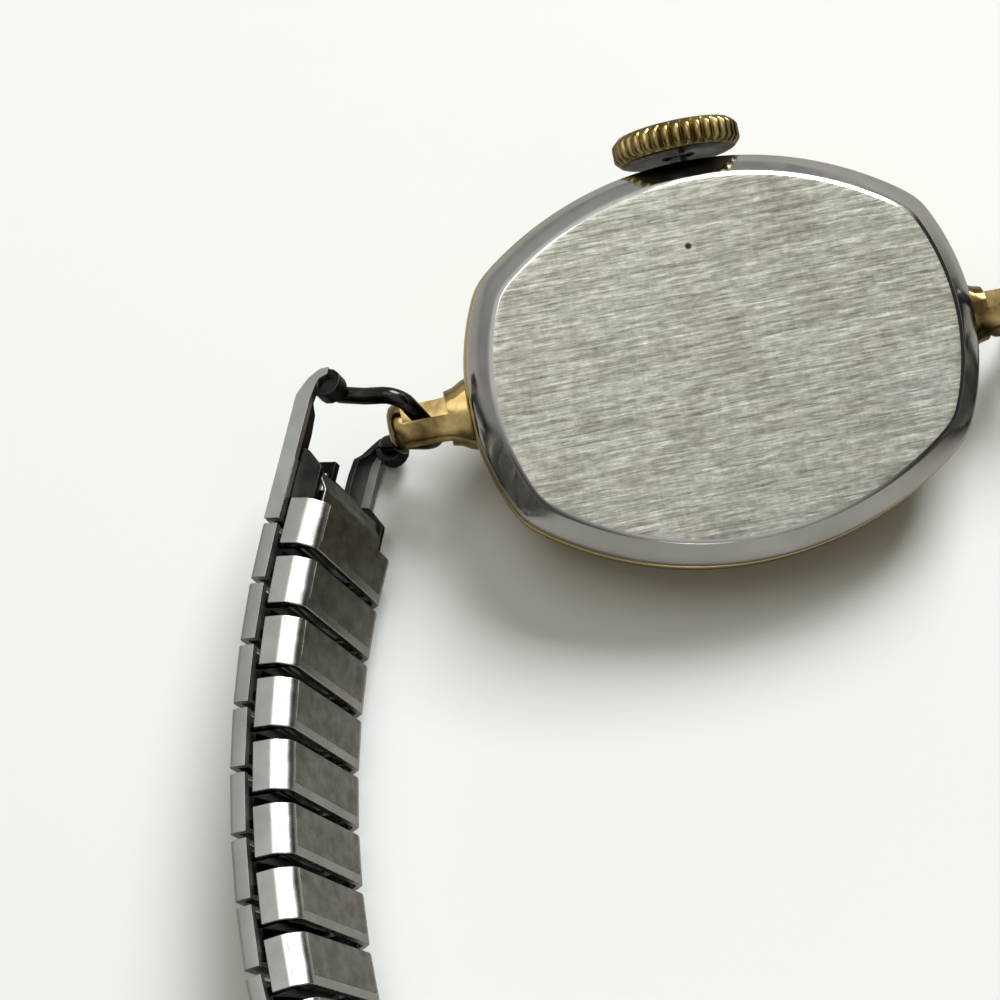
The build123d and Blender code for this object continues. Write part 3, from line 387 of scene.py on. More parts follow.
def ovalRing(grow, depth):
    # the plate's oval grown all round: four arcs with softened corners
    halfLength = caseOval["halfLength"] + grow
    halfWidth = caseOval["halfWidth"] + grow
    x = caseOval["cornerX"] + grow * caseOval["cornerShare"]
    y = caseOval["cornerY"] + grow * caseOval["cornerShare"]
    ring = []
    for start, middle, end in (((-x, y), (0, halfWidth), (x, y)), ((x, y), (halfLength, 0), (x, -y)),
                               ((x, -y), (0, -halfWidth), (-x, -y)), ((-x, -y), (-halfLength, 0), (-x, y))):
        ring += arcPoints(start, middle, end, caseOval["stepsPerSide"])
    for _ in range(caseOval["softening"]):
        ring = [tuple((a + b * 2 + c) / 4 for a, b, c in zip(before, here, after))
                for before, here, after in zip(ring[-1:] + ring[:-1], ring, ring[1:] + ring[:1])]
    return [(px, py, -depth) for px, py in ring]


def ovalLoft(profile, closeStart=False):
    # rings of the oval, given as (growth, depth)
    return loftRings([ovalRing(grow, depth) for grow, depth in profile], closeStart)


backShape = {
    "plate": [(-0.35, 0.0), (-0.17, 0.0), (-0.15, 0.004)],
    "turnedEdge": [(-0.15, 0.004), (-0.12, 0.016), (-0.02, 0.06), (0.03, 0.1)],
    "flankReach": 0.83, "flankDrop": 1.05, "seamDepth": 1.55, "seamReturn": -0.2,
}


def caseBack():
    # the plate, a fine turned edge, the flank and the wall down to the seam
    plate = newObject("backPlate", *ovalLoft(backShape["plate"], True), headPlace)
    smooth(plate, 30)
    dress(plate, "back", "steel_brushed", plateSteel, "case_back")
    reach, drop, seam = backShape["flankReach"], backShape["flankDrop"], backShape["seamDepth"]
    slope = drop / reach
    flank = newObject("backFlank", *ovalLoft(backShape["turnedEdge"] + [
        (0.09, 0.09 * slope + 0.05), (0.4, 0.4 * slope + 0.01),
        (reach - 0.12, drop - 0.12 * slope - 0.01), (reach - 0.04, drop - 0.02),
        (reach, drop + 0.1), (reach, seam - 0.05), (reach - 0.04, seam),
        (backShape["seamReturn"], seam)]), headPlace)
    smooth(flank, 60)
    dress(flank, "back", "steel_polished", polishedSteel)


bezelShape = {
    "belly": [(-0.05, 1.56), (0.8, 1.56), (0.87, 1.61), (0.93, 1.78), (0.95, 2.05), (0.92, 2.45)],
    "shoulder": [(0.84, 2.9), (0.66, 3.5), (0.42, 4.15), (0.31, 4.38), (0.12, 4.56), (-0.3, 4.84),
                 (-0.72, 5.1)],
    "rim": [(-0.9, 5.18), (-1.05, 5.2), (-1.5, 5.19), (-1.66, 5.14), (-1.73, 5.02)],
    "window": [(-1.75, 4.8), (-1.75, 4.3)],
}


def bezelRing():
    # belly, shoulder and rim in gold, and the window's wall down to the dial
    profile = bezelShape["belly"] + bezelShape["shoulder"] + bezelShape["rim"] + bezelShape["window"]
    ring = newObject("bezelRing", *ovalLoft(profile), headPlace)
    smooth(ring, 50)
    dress(ring, "case", "gold", bezelGold, "bezel")


crystalShape = {
    "edge": -1.775, "inner": -2.33, "low": 4.5, "shoulder": 5.35, "top": 6.2, "ceiling": 5.5,
    "domeShares": (0.85, 0.7, 0.55, 0.4, 0.25, 0.1, 0.02), "domeFall": 0.34, "domePower": 2.2,
    "ceilingShares": (0.02, 0.3, 0.6, 0.85, 1.0), "ceilingRise": 0.12,
}


def squeezed(grow, share, depth):
    return [(x * share, y * share, z) for x, y, z in ovalRing(grow, depth)]


def crystalDome():
    # a clear wall in the window, rounded over into a low dome, hollow beneath
    edge, inner, low = crystalShape["edge"], crystalShape["inner"], crystalShape["low"]
    shoulder, ceiling = crystalShape["shoulder"], crystalShape["ceiling"]
    rise = crystalShape["top"] - shoulder
    fall, power = crystalShape["domeFall"], crystalShape["domePower"]
    outside = [ovalRing(grow, depth) for grow, depth in (
        (edge, low), (edge, shoulder - 0.3), (edge, shoulder), (edge - 0.05, shoulder + 0.09),
        (edge - 0.2, shoulder + 0.2), (edge - 0.5, shoulder + rise * 0.46),
        (edge - 1.0, shoulder + rise * 0.66))]
    outside += [squeezed(edge - 1.0, share, shoulder + rise * (1 - fall * share ** power))
                for share in crystalShape["domeShares"]]
    inside = [squeezed(inner - 0.4, share, ceiling + crystalShape["ceilingRise"] * (1 - share))
              for share in crystalShape["ceilingShares"]]
    inside += [ovalRing(inner - 0.1, ceiling - 0.1), ovalRing(inner, ceiling - 0.25), ovalRing(inner, low)]
    points, faces = joinShapes([loftRings(outside, False, True), loftRings(inside, True, False)])
    count = len(outside[0])
    start = len(points) - count
    faces += [(k, (k + 1) % count, start + (k + 1) % count, start + k) for k in range(count)]
    dome = newObject("crystalDome", points, faces, headPlace)
    smooth(dome, 60)
    dress(dome, "case", "crystal", crystalClear, "crystal")


hands = {
    "hour": {"body": "hour_wheel", "node": "hour_hand", "depth": 4.42, "length": 2.9, "hub": 0.73,
             "bore": 0.46},
    "minute": {"body": "centre_wheel", "node": "minute_hand", "depth": 4.7, "length": 4.2, "hub": 0.55,
               "bore": 0.28},
    "halfWidth": 0.27, "halfRoot": 0.12, "halfTip": 0.04, "halfTail": 0.15, "overlap": 0.1, "tail": 0.9,
    "thick": 0.12, "hubSides": 40,
}


def ridged(stations, depth, rise):
    # a bar with a ridge along its front; stations are (y, half width)
    rings = [[(-half, y, -depth), (0, y, -depth - rise), (half, y, -depth), (0, y, -depth + 0.001)]
             for y, half in stations]
    return loftRings(rings, True, True)


def handPiece(name):
    # a leaf and a tail with a ridge each, and the ring on the pinion
    hand = hands[name]
    depth, thick, hub, bore = hand["depth"], hands["thick"], hand["hub"], hand["bore"]
    root, overlap, sides = hands["halfRoot"], hands["overlap"], hands["hubSides"]
    leaf = ridged([(hub - overlap, root), (hand["length"] / 2, hands["halfWidth"]),
                   (hand["length"], hands["halfTip"])], depth, thick)
    tail = ridged([(-hands["tail"], hands["halfTail"]), (overlap - hub, root)], depth, thick)

    def circle(radius, level):
        return [(radius * cos(2 * pi * k / sides), radius * sin(2 * pi * k / sides), -level)
                for k in range(sides)]

    ring = loftRings([circle(bore, depth), circle(hub, depth), circle(hub, depth + thick - 0.04),
                      circle(hub - 0.05, depth + thick), circle(bore, depth + thick)], False, False, True)
    piece = newObject(name + "HandShape", *joinShapes([leaf, tail, ring]), headPlace)
    smooth(piece, 30)
    dress(piece, hand["body"], "gold", bezelGold, hand["node"])


dialMarks = {
    "front": 4.25,
    "hours": {"count": 12, "grow": -2.8, "length": 0.9, "width": 0.2, "height": 0.09, "ridge": 0.15},
    "minutes": {"count": 60, "grow": -3.5, "length": 0.2, "width": 0.045, "height": 0.012, "ridge": 1.0},
}


def marksAround(kind):
    # bars round the dial, each pointing at its middle
    mark = dialMarks[kind]
    half, height, length = mark["width"] / 2, mark["height"], mark["length"]
    top = half * mark["ridge"]
    section = [(-half, 0), (half, 0), (top, -height), (-top, -height)]
    bars = []
    for k in range(mark["count"]):
        angle = 2 * pi * k / mark["count"]
        x = (caseOval["halfLength"] + mark["grow"]) * cos(angle)
        y = (caseOval["halfWidth"] + mark["grow"]) * sin(angle)
        place = Matrix.Translation((x, y, -dialMarks["front"])) @ Matrix.Rotation(atan2(y, x), 4, "Z")
        bars.append(movedShape(prism(section, -length / 2, length / 2), place))
    return joinShapes(bars)


def dialPieces():
    batons = newObject("hourBatons", *marksAround("hours"), headPlace)
    dress(batons, "case", "gold", bezelGold, "hour_markers")
    track = newObject("minuteTrack", *marksAround("minutes"), headPlace)
    dress(track, "case", "dial", printDark)


lug = {
    "axisDepth": 3.4, "start": 9.8, "tip": 13.33, "radius": 1.08, "rootWidth": 1.5, "rootHeight": 1.15,
    "slotX": 11.83, "slotHalfLength": 0.92, "slotHalf": 0.42, "slotLow": -12.4, "slotHigh": 61.6,
    "slotReach": 3.0, "sides": 32,
}


def lugRing(x, halfWidth, halfHeight, squareness):
    # a rounded outline between a circle and a square
    ring = []
    for k in range(lug["sides"]):
        turn = 2 * pi * k / lug["sides"]
        c, s = cos(turn), sin(turn)
        y = abs(c) ** (1 / squareness) * (1 if c > 0 else -1) * halfWidth
        z = abs(s) ** (1 / squareness) * (1 if s > 0 else -1) * halfHeight
        ring.append((x, y, z - lug["axisDepth"]))
    return ring


def lugPiece(name, mirrored):
    # a round-ended lug, and a slot that opens like a fan for the ring's swing
    r, tip = lug["radius"], lug["tip"]
    stations = [
        (lug["start"], lug["rootWidth"], lug["rootHeight"], 1.5), (10.2, 1.36, 1.12, 1.5),
        (10.55, 1.17, 1.07, 1.35), (10.9, 1.09, 1.06, 1.2), (11.3, r, r, 1.1), (tip - 0.75, r, r, 1.05),
        (tip - 0.4, r * 0.95, r * 0.95, 1.0), (tip - 0.15, r * 0.8, r * 0.8, 1.0),
        (tip - 0.03, r * 0.55, r * 0.55, 1.0), (tip, r * 0.25, r * 0.25, 1.0),
    ]
    rings = [lugRing(*station) for station in stations]
    body = newObject(name, *loftRings(rings, True, True), Matrix.Identity(4))
    low, high = radians(lug["slotLow"]), radians(lug["slotHigh"])
    half, reach = lug["slotHalf"], lug["slotReach"]
    middle = (low + high) / 2
    waist = half / cos((high - low) / 2)
    corners = []
    for base in (0, pi):
        for angle, side in ((low + base, -1), (high + base, 1)):
            corners.append((reach * cos(angle) - side * half * sin(angle),
                            reach * sin(angle) + side * half * cos(angle)))
        corners.append((waist * cos(middle + base + pi / 2), waist * sin(middle + base + pi / 2)))
    section = [(y, z - lug["axisDepth"]) for y, z in corners]
    start, end = lug["slotX"] - lug["slotHalfLength"], lug["slotX"] + lug["slotHalfLength"]
    fan = newObject(name + "Slot", *prism(section, start, end), Matrix.Identity(4))
    cutShape(body, fan)
    body.data.transform(headPlace)
    if mirrored:
        body.data.transform(mirrorX)
        body.data.flip_normals()
    smooth(body, 35)
    return body


def cutShape(obj, cutter):
    cut = obj.modifiers.new("cut", "BOOLEAN")
    cut.object = cutter
    cut.solver = "EXACT"
    graph = bpy.context.evaluated_depsgraph_get()
    mesh = bpy.data.meshes.new_from_object(obj.evaluated_get(graph))
    obj.modifiers.remove(cut)
    obj.data = mesh
    bpy.data.objects.remove(cutter)


def lugs():
    for name, mirrored in (("rightLug", False), ("leftLug", True)):
        dress(lugPiece(name, mirrored), "case", "gold", goldPlate)


crown = {
    "depth": 2.2, "base": 8.3, "thickness": 1.09, "radius": 2.53, "edge": 0.26,
    "flutes": 34, "pointsPerFlute": 8, "fluteDepth": 0.2, "fluteShape": 0.6,
}


def crownPiece():
    # flutes round the rim, a turned edge at each side and a slightly domed cap
    base, top = crown["base"], crown["base"] + crown["thickness"]
    radius, depth = crown["radius"], crown["fluteDepth"]
    shoulder = radius - crown["edge"]
    perFlute = crown["pointsPerFlute"]
    count = crown["flutes"] * perFlute

    def fluted(y, outer, cut):
        ring = []
        for k in range(count):
            wave = abs(cos(pi * k / perFlute)) ** crown["fluteShape"]
            r = outer - cut * (1 - wave)
            turn = 2 * pi * k / count
            ring.append((r * cos(turn), y, r * sin(turn) - crown["depth"]))
        return ring

    rings = [
        fluted(base + 0.03, shoulder + 0.02, depth * 0.1), fluted(base + 0.05, shoulder + 0.05, depth * 0.2),
        fluted(base + 0.16, radius - 0.09, depth * 0.7), fluted(base + 0.27, radius, depth),
        fluted(top - 0.27, radius, depth), fluted(top - 0.16, radius - 0.09, depth * 0.7),
        fluted(top - 0.05, shoulder + 0.05, depth * 0.2), fluted(top, shoulder - 0.02, 0),
        fluted(top + 0.02, shoulder - 0.15, 0), fluted(top + 0.08, 1.6, 0), fluted(top + 0.14, 0.9, 0),
        fluted(top + 0.16, 0.3, 0),
    ]
    body = newObject("crownBody", *loftRings(rings, False, True), headPlace)
    smooth(body, 40)
    dress(body, "crown", "gold", crownGold, "crown")
    # the inner face, in near-black gold: painted shade
    inner = [
        fluted(base + 0.12, 0.62, 0), fluted(base + 0.02, 0.7, 0), fluted(base + 0.02, 1.9, 0),
        fluted(base, 2.0, 0), fluted(base + 0.01, shoulder - 0.04, 0),
        fluted(base + 0.03, shoulder + 0.02, depth * 0.1),
    ]
    face = newObject("crownFace", *loftRings(inner, True), headPlace)
    smooth(face, 40)
    dress(face, "crown", "gold", shadedCrownGold)


caseBack()
bezelRing()
crystalDome()
dialPieces()
handPiece("hour")
handPiece("minute")
lugs()
crownPiece()
print("case, lugs and crown")


# Bracelet. Distance s runs along the path from the far middle towards the left lug.

bowQuarter = band["bowRadius"] * pi / 2
bandEnd = band["pitch"] * band["pitchesPerSide"]
sideLength = bandEnd - bowQuarter
sideShift = band["bowRadius"] + band["endX"]
sideTurn = sideShift / sideLength * 2
# each round brings the turn nearer to the one that ends the side at the lug
for _ in range(40):
    sideTurn = acos(1 - sideTurn * sideShift / sideLength)
sideRadius = sideLength / sideTurn
bowCentreY = band["endY"] - sideRadius * sin(sideTurn)
bandMiddle = band["width"] / 2 * cos(band["lean"]) + band["thickness"] / 2 * sin(band["lean"])
halfBand = band["width"] / 2
skin = band["thickness"] / 2


def pathAt(s):
    # the point and the direction on the path: the bow at the far side, then the side towards the lug
    if s <= bowQuarter:
        turn = s / band["bowRadius"]
        point = (-band["bowRadius"] * sin(turn), bowCentreY - band["bowRadius"] * cos(turn))
        return point, (-cos(turn), sin(turn))
    turn = (s - bowQuarter) / sideRadius
    point = (-band["bowRadius"] + sideRadius * (1 - cos(turn)), bowCentreY + sideRadius * sin(turn))
    return point, (sin(turn), cos(turn))


def bandPlace(s, forward=0.0):
    # x towards the lug, y outwards through the band, z across its width
    (px, py), (dx, dy) = pathAt(s)
    lean = band["lean"]
    along = Vector((dx, dy, 0))
    up = Vector((-dy * sin(lean), dx * sin(lean), cos(lean)))
    out = up.cross(along)
    origin = Vector((px + dx * forward, py + dy * forward, bandMiddle)) * mm
    origin.y += plateCentre.y
    return Matrix.Translation(origin) @ Matrix((along, out, up)).transposed().to_4x4()


def roundedPath(corners, steps):
    # corners are (u, v, radius); a radius of zero keeps the corner sharp
    points = []
    count = len(corners)
    for k, (u, v, radius) in enumerate(corners):
        if not radius:
            points.append((u, v))
            continue
        here = Vector((u, v))
        before = (Vector(corners[k - 1][:2]) - here).normalized()
        after = (Vector(corners[(k + 1) % count][:2]) - here).normalized()
        half = acos(max(-1, min(1, before.dot(after)))) / 2
        centre = here + (before + after).normalized() * (radius / sin(half))
        first = here + before * (radius / tan(half)) - centre
        last = here + after * (radius / tan(half)) - centre
        start = atan2(first.y, first.x)
        turn = atan2(last.y, last.x) - start
        turn = (turn + pi) % (2 * pi) - pi
        for step in range(steps + 1):
            angle = start + turn * step / steps
            points.append((centre.x + radius * cos(angle), centre.y + radius * sin(angle)))
    return points


def sheetSection(path, thickness):
    # the path and its offset to the right, closed into the outline of a bent sheet
    inner = []
    last = len(path) - 1
    for k, (u, v) in enumerate(path):
        a = Vector(path[max(k - 1, 0)])
        b = Vector(path[min(k + 1, last)])
        way = (b - a).normalized()
        inner.append((u + way.y * thickness, v - way.x * thickness))
    return list(path) + inner[::-1]


def sleeve(section, length):
    # a bent sheet along the band, with rings near its ends and at its middle
    rings = [[(share * length, y, z) for y, z in section] for share in (-0.5, -0.45, 0.0, 0.45, 0.5)]
    return loftRings(rings, True, True)


outerLow = band["rowSplit"] + band["rowGap"] / 2
innerLow = band["rowSplit"] - band["rowGap"] / 2
innerSkin = {"flangeEnd": -0.62, "bend": 0.42, "flatHalf": 2.62}
outerSection = sheetSection(roundedPath([
    (outerLow, halfBand, 0), (skin, halfBand, 0.2), (skin, -halfBand, 0.2), (outerLow, -halfBand, 0)], 3),
    band["sheet"])
innerSection = sheetSection(roundedPath([
    (innerLow, -halfBand, 0), (innerSkin["flangeEnd"], -halfBand, innerSkin["bend"]),
    (-skin, -innerSkin["flatHalf"], innerSkin["bend"]), (-skin, innerSkin["flatHalf"], innerSkin["bend"]),
    (innerSkin["flangeEnd"], halfBand, innerSkin["bend"]), (innerLow, halfBand, 0)], 4), band["sheet"])


def plateAcross(outline, low, high):
    # an outline in x and y, given thickness across the band's width
    rings = [[(x, y, low) for x, y in outline], [(x, y, high) for x, y in outline]]
    return loftRings(rings, True, True)


panelShape = {"low": -0.6, "high": 0.95, "nearEnd": -2.38, "farEnd": 2.4, "round": 0.05, "sunk": 0.005,
              "proud": 0.02}


def shadedPanel():
    # a darker panel on the inner face, in painted shade, leaving a plain strip along one edge and one end
    low, high, corner = panelShape["low"], panelShape["high"], panelShape["round"]
    near, far = panelShape["nearEnd"], panelShape["farEnd"]
    outline = roundedPath([(low, near, corner), (high, near, 0), (high, far, 0), (low, far, corner)], 3)
    points, faces = plateAcross([(z, x) for x, z in outline], 0, panelShape["proud"])
    return [(y, -skin + panelShape["sunk"] - z, x) for x, y, z in points], faces


leafShape = {"level": 0.8, "bow": 0.35, "half": 1.8, "stations": (-1.8, -1.2, -0.6, 0.0, 0.6, 1.2, 1.8),
             "sheet": 0.09, "halfAlong": 0.55}


def springLeaf():
    # the bowed leaf that draws two neighbouring sleeves together
    points = [(leafShape["level"] - leafShape["bow"] * (1 - (z / leafShape["half"]) ** 2), z)
              for z in leafShape["stations"]]
    return prism(sheetSection(points, leafShape["sheet"]), -leafShape["halfAlong"], leafShape["halfAlong"])


clipShape = {"fromEdge": 0.85, "halfHeight": 0.8, "halfWire": 0.11, "round": 0.04, "halfAlong": 0.15}


def clipPair():
    # the two staples that join an outer and an inner sleeve
    high, wire, corner = clipShape["halfHeight"], clipShape["halfWire"], clipShape["round"]
    shapes = []
    for z in (halfBand - clipShape["fromEdge"], clipShape["fromEdge"] - halfBand):
        outline = roundedPath([(-high, z - wire, corner), (high, z - wire, corner), (high, z + wire, corner),
                               (-high, z + wire, corner)], 2)
        shapes.append(prism(outline, -clipShape["halfAlong"], clipShape["halfAlong"]))
    return joinShapes(shapes)


def placedOn(shapes):
    # shapes given with their places, joined in millimetres
    return joinShapes([movedShape(shape, scaled(place)) for shape, place in shapes])


def scaled(place):
    # a place in metres as a place in millimetres
    matrix = place.copy()
    matrix.translation = place.translation / mm
    return matrix


def linkBody(side, number, mirrored):
    # two pitches of both rows; the left side's last body also has the sleeve at the far middle
    name = f"{side}_links_{number:02d}"
    pitch = band["pitch"]
    outers, inners, clips, leaves, panels = [], [], [], [], []
    last = number * band["pitchesPerBody"]
    joined = side == "left"
    for index in range(last - band["pitchesPerBody"], last):
        s = bandEnd - pitch * (index + 0.5)
        outers.append((sleeve(outerSection, band["outerLength"]), bandPlace(s)))
        inners.append((sleeve(innerSection, band["innerLength"]), bandPlace(s + pitch / 2)))
        panels.append((shadedPanel(), bandPlace(s + pitch / 2)))
        leaves.append((springLeaf(), bandPlace(s)))
        clips.append((clipPair(), bandPlace(s + pitch / 4)))
        if joined or index < band["pitchesPerSide"] - 1:
            clips.append((clipPair(), bandPlace(s - pitch / 4)))
    if joined and last == band["pitchesPerSide"]:
        inners.append((sleeve(innerSection, band["innerLength"]), bandPlace(0)))
        panels.append((shadedPanel(), bandPlace(0)))
    for label, shapes, material, slot, edge in (
            ("Outer", outers, outerSteel, "steel_brushed", 0.08),
            ("Inner", inners, bandSteel, "steel_brushed", 0.05),
            # panels in darker steel: painted shade
            ("Panels", panels, shadedPanelSteel, "steel_brushed", 0),
            # clips and leaves in near-black steel: painted shade
            ("Clips", clips, shadedSteel, "steel_polished", 0),
            ("Leaves", leaves, shadedSteel, "steel_polished", 0)):
        piece = newObject(f"{side}{label}{number:02d}", *placedOn(shapes), Matrix.Identity(4), mirrored)
        if edge:
            soften(piece, edge, 50)
        smooth(piece, 40)
        if label == "Outer":
            dress(piece, name, slot, material, name)
        else:
            dress(piece, name, slot, material)


for number in range(1, band["pitchesPerSide"] // band["pitchesPerBody"] + 1):
    linkBody("left", number, False)
    linkBody("right", number, True)
print("bracelet links")


endPart = {
    "shellStart": 0.1, "shellEnd": 2.7, "shellShare": 0.985, "flangeLow": 0.5, "sheet": 0.28,
    "armStart": 2.5, "armWide": 1.35, "armWidth": 0.7, "narrowFrom": 5.1, "narrowOver": 0.6, "armEnd": 6.0,
    "rollRadius": 0.475, "rollStart": 30, "rollStep": 25, "rollSteps": 13,
    "wallPlace": 2.6, "wallSheet": 0.25,
    "blockHalf": 1.3, "blockStart": 2.15, "blockEnd": 2.95, "blockLow": 0.1, "blockHigh": 1.15,
    "cheekSize": (0.9, 0.9, 0.35), "cheekPlace": (3.05, 0.35, 1.0), "tongueSheet": 0.12, "tongueHalf": 2.3,
}


def sideStrip(sign):
    # the arm's edge, turned in round the pin at its end
    low = endPart["flangeLow"]
    outline = roundedPath([
        (0.1, skin - 0.02, 0), (0.1, low, 0.05), (5.2, low + 0.02, 0.4), (5.85, 0.44, 0.12),
        (6.18, 0.34, 0.12), (6.36, 0.02, 0.03), (6.68, 0.02, 0.03), (6.6, 0.42, 0.25), (6.2, 0.84, 0.3),
        (5.5, skin, 0.55)], 4)
    far, near = sign * halfBand, sign * (halfBand - endPart["sheet"])
    return plateAcross(outline, min(far, near), max(far, near))


def rolledArm(sign):
    # the arm's sheet behind that edge, rolled into an eye for the pin
    half = endPart["sheet"] / 2
    level = skin - half - 0.01
    end, roll = endPart["armEnd"], endPart["rollRadius"]
    path = [(endPart["armStart"], level), (3.4, level), (4.4, level), (5.2, level), (5.55, level - 0.05),
            (5.95, level - 0.24), (6.3, level - 0.56)]
    straight = len(path)
    for k in range(endPart["rollSteps"]):
        angle = radians(endPart["rollStart"] - endPart["rollStep"] * k)
        path.append((end + roll * cos(angle), roll * sin(angle)))
    rings = []
    for k, (x, y) in enumerate(path):
        a, b = Vector(path[max(k - 1, 0)]), Vector(path[min(k + 1, len(path) - 1)])
        way = (b - a).normalized() * half
        share = min(1, max(0, (x - endPart["narrowFrom"]) / endPart["narrowOver"])) if k < straight else 1
        inner = halfBand - (endPart["armWide"] * (1 - share) + endPart["armWidth"] * share)
        outer = halfBand - 0.02
        rings.append([(x - way.y, y + way.x, sign * outer), (x + way.y, y - way.x, sign * outer),
                      (x + way.y, y - way.x, sign * inner), (x - way.y, y + way.x, sign * inner)])
    return loftRings(rings, True, True)


def endWall(sign):
    # a wall inside the shell, beside the arm
    outline = roundedPath([
        (1.12, -0.55, 0.1), (2.5, -0.55, 0.25), (3.3, 0.3, 0.3), (3.3, 0.9, 0), (1.12, 0.9, 0)], 3)
    place = sign * endPart["wallPlace"]
    half = endPart["wallSheet"] / 2
    return plateAcross(outline, place - half, place + half)


def endPiece(side, mirrored):
    # the shell with its two strips, the two arms, and the walls, block and tongue inside
    place = scaled(bandPlace(bandEnd))
    start, end = endPart["shellStart"], endPart["shellEnd"]
    inset = [(y, z * endPart["shellShare"]) for y, z in outerSection]
    shell = movedShape(sleeve(inset, end - start), Matrix.Translation(((start + end) / 2, 0, 0)))
    half, low, high = endPart["blockHalf"], endPart["blockLow"], endPart["blockHigh"]
    block = prism(roundedPath([(low, -half, 0.12), (high, -half, 0), (high, half, 0), (low, half, 0.12)], 3),
                  endPart["blockStart"], endPart["blockEnd"])
    tongue = plateAcross(sheetSection(roundedPath(
        [(1.05, -0.62, 0), (1.7, -0.62, 0.3), (2.1, -0.35, 0.2), (2.5, -0.2, 0)], 3),
        endPart["tongueSheet"]), -endPart["tongueHalf"], endPart["tongueHalf"])
    cheek = boxShape(endPart["cheekSize"], endPart["cheekPlace"])
    clips = movedShape(clipPair(), Matrix.Translation((band["pitch"] / 4, 0, 0)))
    for label, shapes, material, slot, edge, sharpest, smoothest, nodes in (
            ("EndShell", [shell, sideStrip(1), sideStrip(-1)], outerSteel, "steel_brushed", 0.05, 40, 40,
             [side + "_end_piece"]),
            # arms and inside parts in near-black steel: painted shade
            ("EndArms", [rolledArm(1), rolledArm(-1)], shadedSteel, "steel_polished", 0.04, 60, 50, []),
            ("EndInside", [endWall(1), endWall(-1), cheek, clips], shadedSteel, "steel_polished", 0.05, 40, 40,
             []),
            # block and tongue in darker steel: painted shade
            ("EndBlock", [block, tongue], shadedPanelSteel, "steel_brushed", 0.05, 40, 40, [])):
        piece = newObject(side + label, *movedShape(joinShapes(shapes), place), Matrix.Identity(4), mirrored)
        soften(piece, edge, sharpest)
        smooth(piece, smoothest)
        dress(piece, side + "_end", slot, material, *nodes)


endRing = {
    "wire": 0.34, "half": 2.0, "pinReach": 2.9, "sides": 16, "pinBend": 0.28, "shoulderBend": 0.9,
    "slotBend": 0.75, "shoulderShare": 0.42, "endTaper": 0.25,
    "pinAhead": 0.02, "pinSplay": 0.05, "shoulderIn": 0.12, "slotIn": 0.05,
}


def sweptWire(points, radius, sides):
    # a round wire along a path, its frame carried from point to point
    rings = []
    last = len(points) - 1
    side = None
    for k, point in enumerate(points):
        way = (points[min(k + 1, last)] - points[max(k - 1, 0)]).normalized()
        if side is None:
            side = way.orthogonal().normalized()
        side = (side - way * side.dot(way)).normalized()
        other = way.cross(side)
        taper = endRing["endTaper"] if k in (0, last) else 0.0
        rings.append([tuple(point + (side * cos(2 * pi * n / sides) + other * sin(2 * pi * n / sides))
                            * radius * (1 - taper)) for n in range(sides)])
    return loftRings(rings, True, True)


def ringPiece(side, mirrored):
    # the wire from one eye of the end piece through the lug's slot to the other eye
    hinge = scaled(bandPlace(bandEnd, endPart["armEnd"]))
    origin = hinge.translation
    across = hinge.to_3x3().col[2]
    hole = scaled(headPlace) @ Vector((-lug["slotX"], 0, -lug["axisDepth"]))
    ahead = hole - origin
    ahead = ahead - across * ahead.dot(across)
    depth = ahead.length
    ahead.normalize()
    half, reach = endRing["half"], endRing["pinReach"]
    pin, shoulder, slot = endRing["pinBend"], endRing["shoulderBend"], endRing["slotBend"]
    middle = depth * endRing["shoulderShare"]
    # the bends at the pins turn outwards, and the second half mirrors the first
    corners = [(0, -reach, 0), (endRing["pinAhead"], -half - endRing["pinSplay"], pin),
               (middle, -half + endRing["shoulderIn"], shoulder), (depth, -half + endRing["slotIn"], slot)]
    corners += [(x, -y, bend) for x, y, bend in reversed(corners)]
    points = [origin + ahead * x + across * y for x, y in roundedPath(corners, 8)]
    shape = sweptWire(points, endRing["wire"], endRing["sides"])
    wire = newObject(side + "RingWire", *shape, Matrix.Identity(4), mirrored)
    smooth(wire, 50)
    dress(wire, side + "_ring", "steel_polished", ringSteel, side + "_end_ring")


for side, mirrored in (("left", False), ("right", True)):
    endPiece(side, mirrored)
    ringPiece(side, mirrored)
print("end pieces and rings")


# Floor, lights and camera

cameraView = {
    "place": (-14.35, -27.66, 92.47), "forward": (0.0486, 0.4175, -0.9074), "up": (0.1952, 0.887, 0.4185),
    "lens": 90.0, "sensor": 36.0, "clip": 0.001,
}


def setCamera():
    forward = Vector(cameraView["forward"]).normalized()
    up = Vector(cameraView["up"])
    right = forward.cross(up).normalized()
    up = right.cross(forward)
    data = bpy.data.cameras.new("camera")
    data.lens = cameraView["lens"]
    data.sensor_width = cameraView["sensor"]
    data.clip_start = cameraView["clip"]
    obj = bpy.data.objects.new("camera", data)
    turn = Matrix((right, up, -forward)).transposed().to_4x4()
    obj.matrix_world = Matrix.Translation(Vector(cameraView["place"]) * mm) @ turn
    bpy.context.scene.collection.objects.link(obj)
    bpy.context.scene.camera = obj


lamps = {
    "window": {"place": (0.25, 0.39, 0.49), "size": 0.33, "power": 5.35, "colour": (0.99, 1.0, 0.99)},
    "ceiling": {"place": (-0.15, 0.12, 0.62), "size": 0.4, "power": 0.9, "colour": (1.0, 1.0, 0.98)},
}


def softLamp(name):
    # a square lamp that faces the origin
    lamp = lamps[name]
    data = bpy.data.lights.new(name, "AREA")
    data.shape = "RECTANGLE"
    data.size = data.size_y = lamp["size"]
    data.energy = lamp["power"]
    data.color = lamp["colour"]
    obj = bpy.data.objects.new(name, data)
    obj.location = lamp["place"]
    obj.rotation_euler = (-Vector(lamp["place"])).to_track_quat("-Z", "Y").to_euler()
    bpy.context.scene.collection.objects.link(obj)


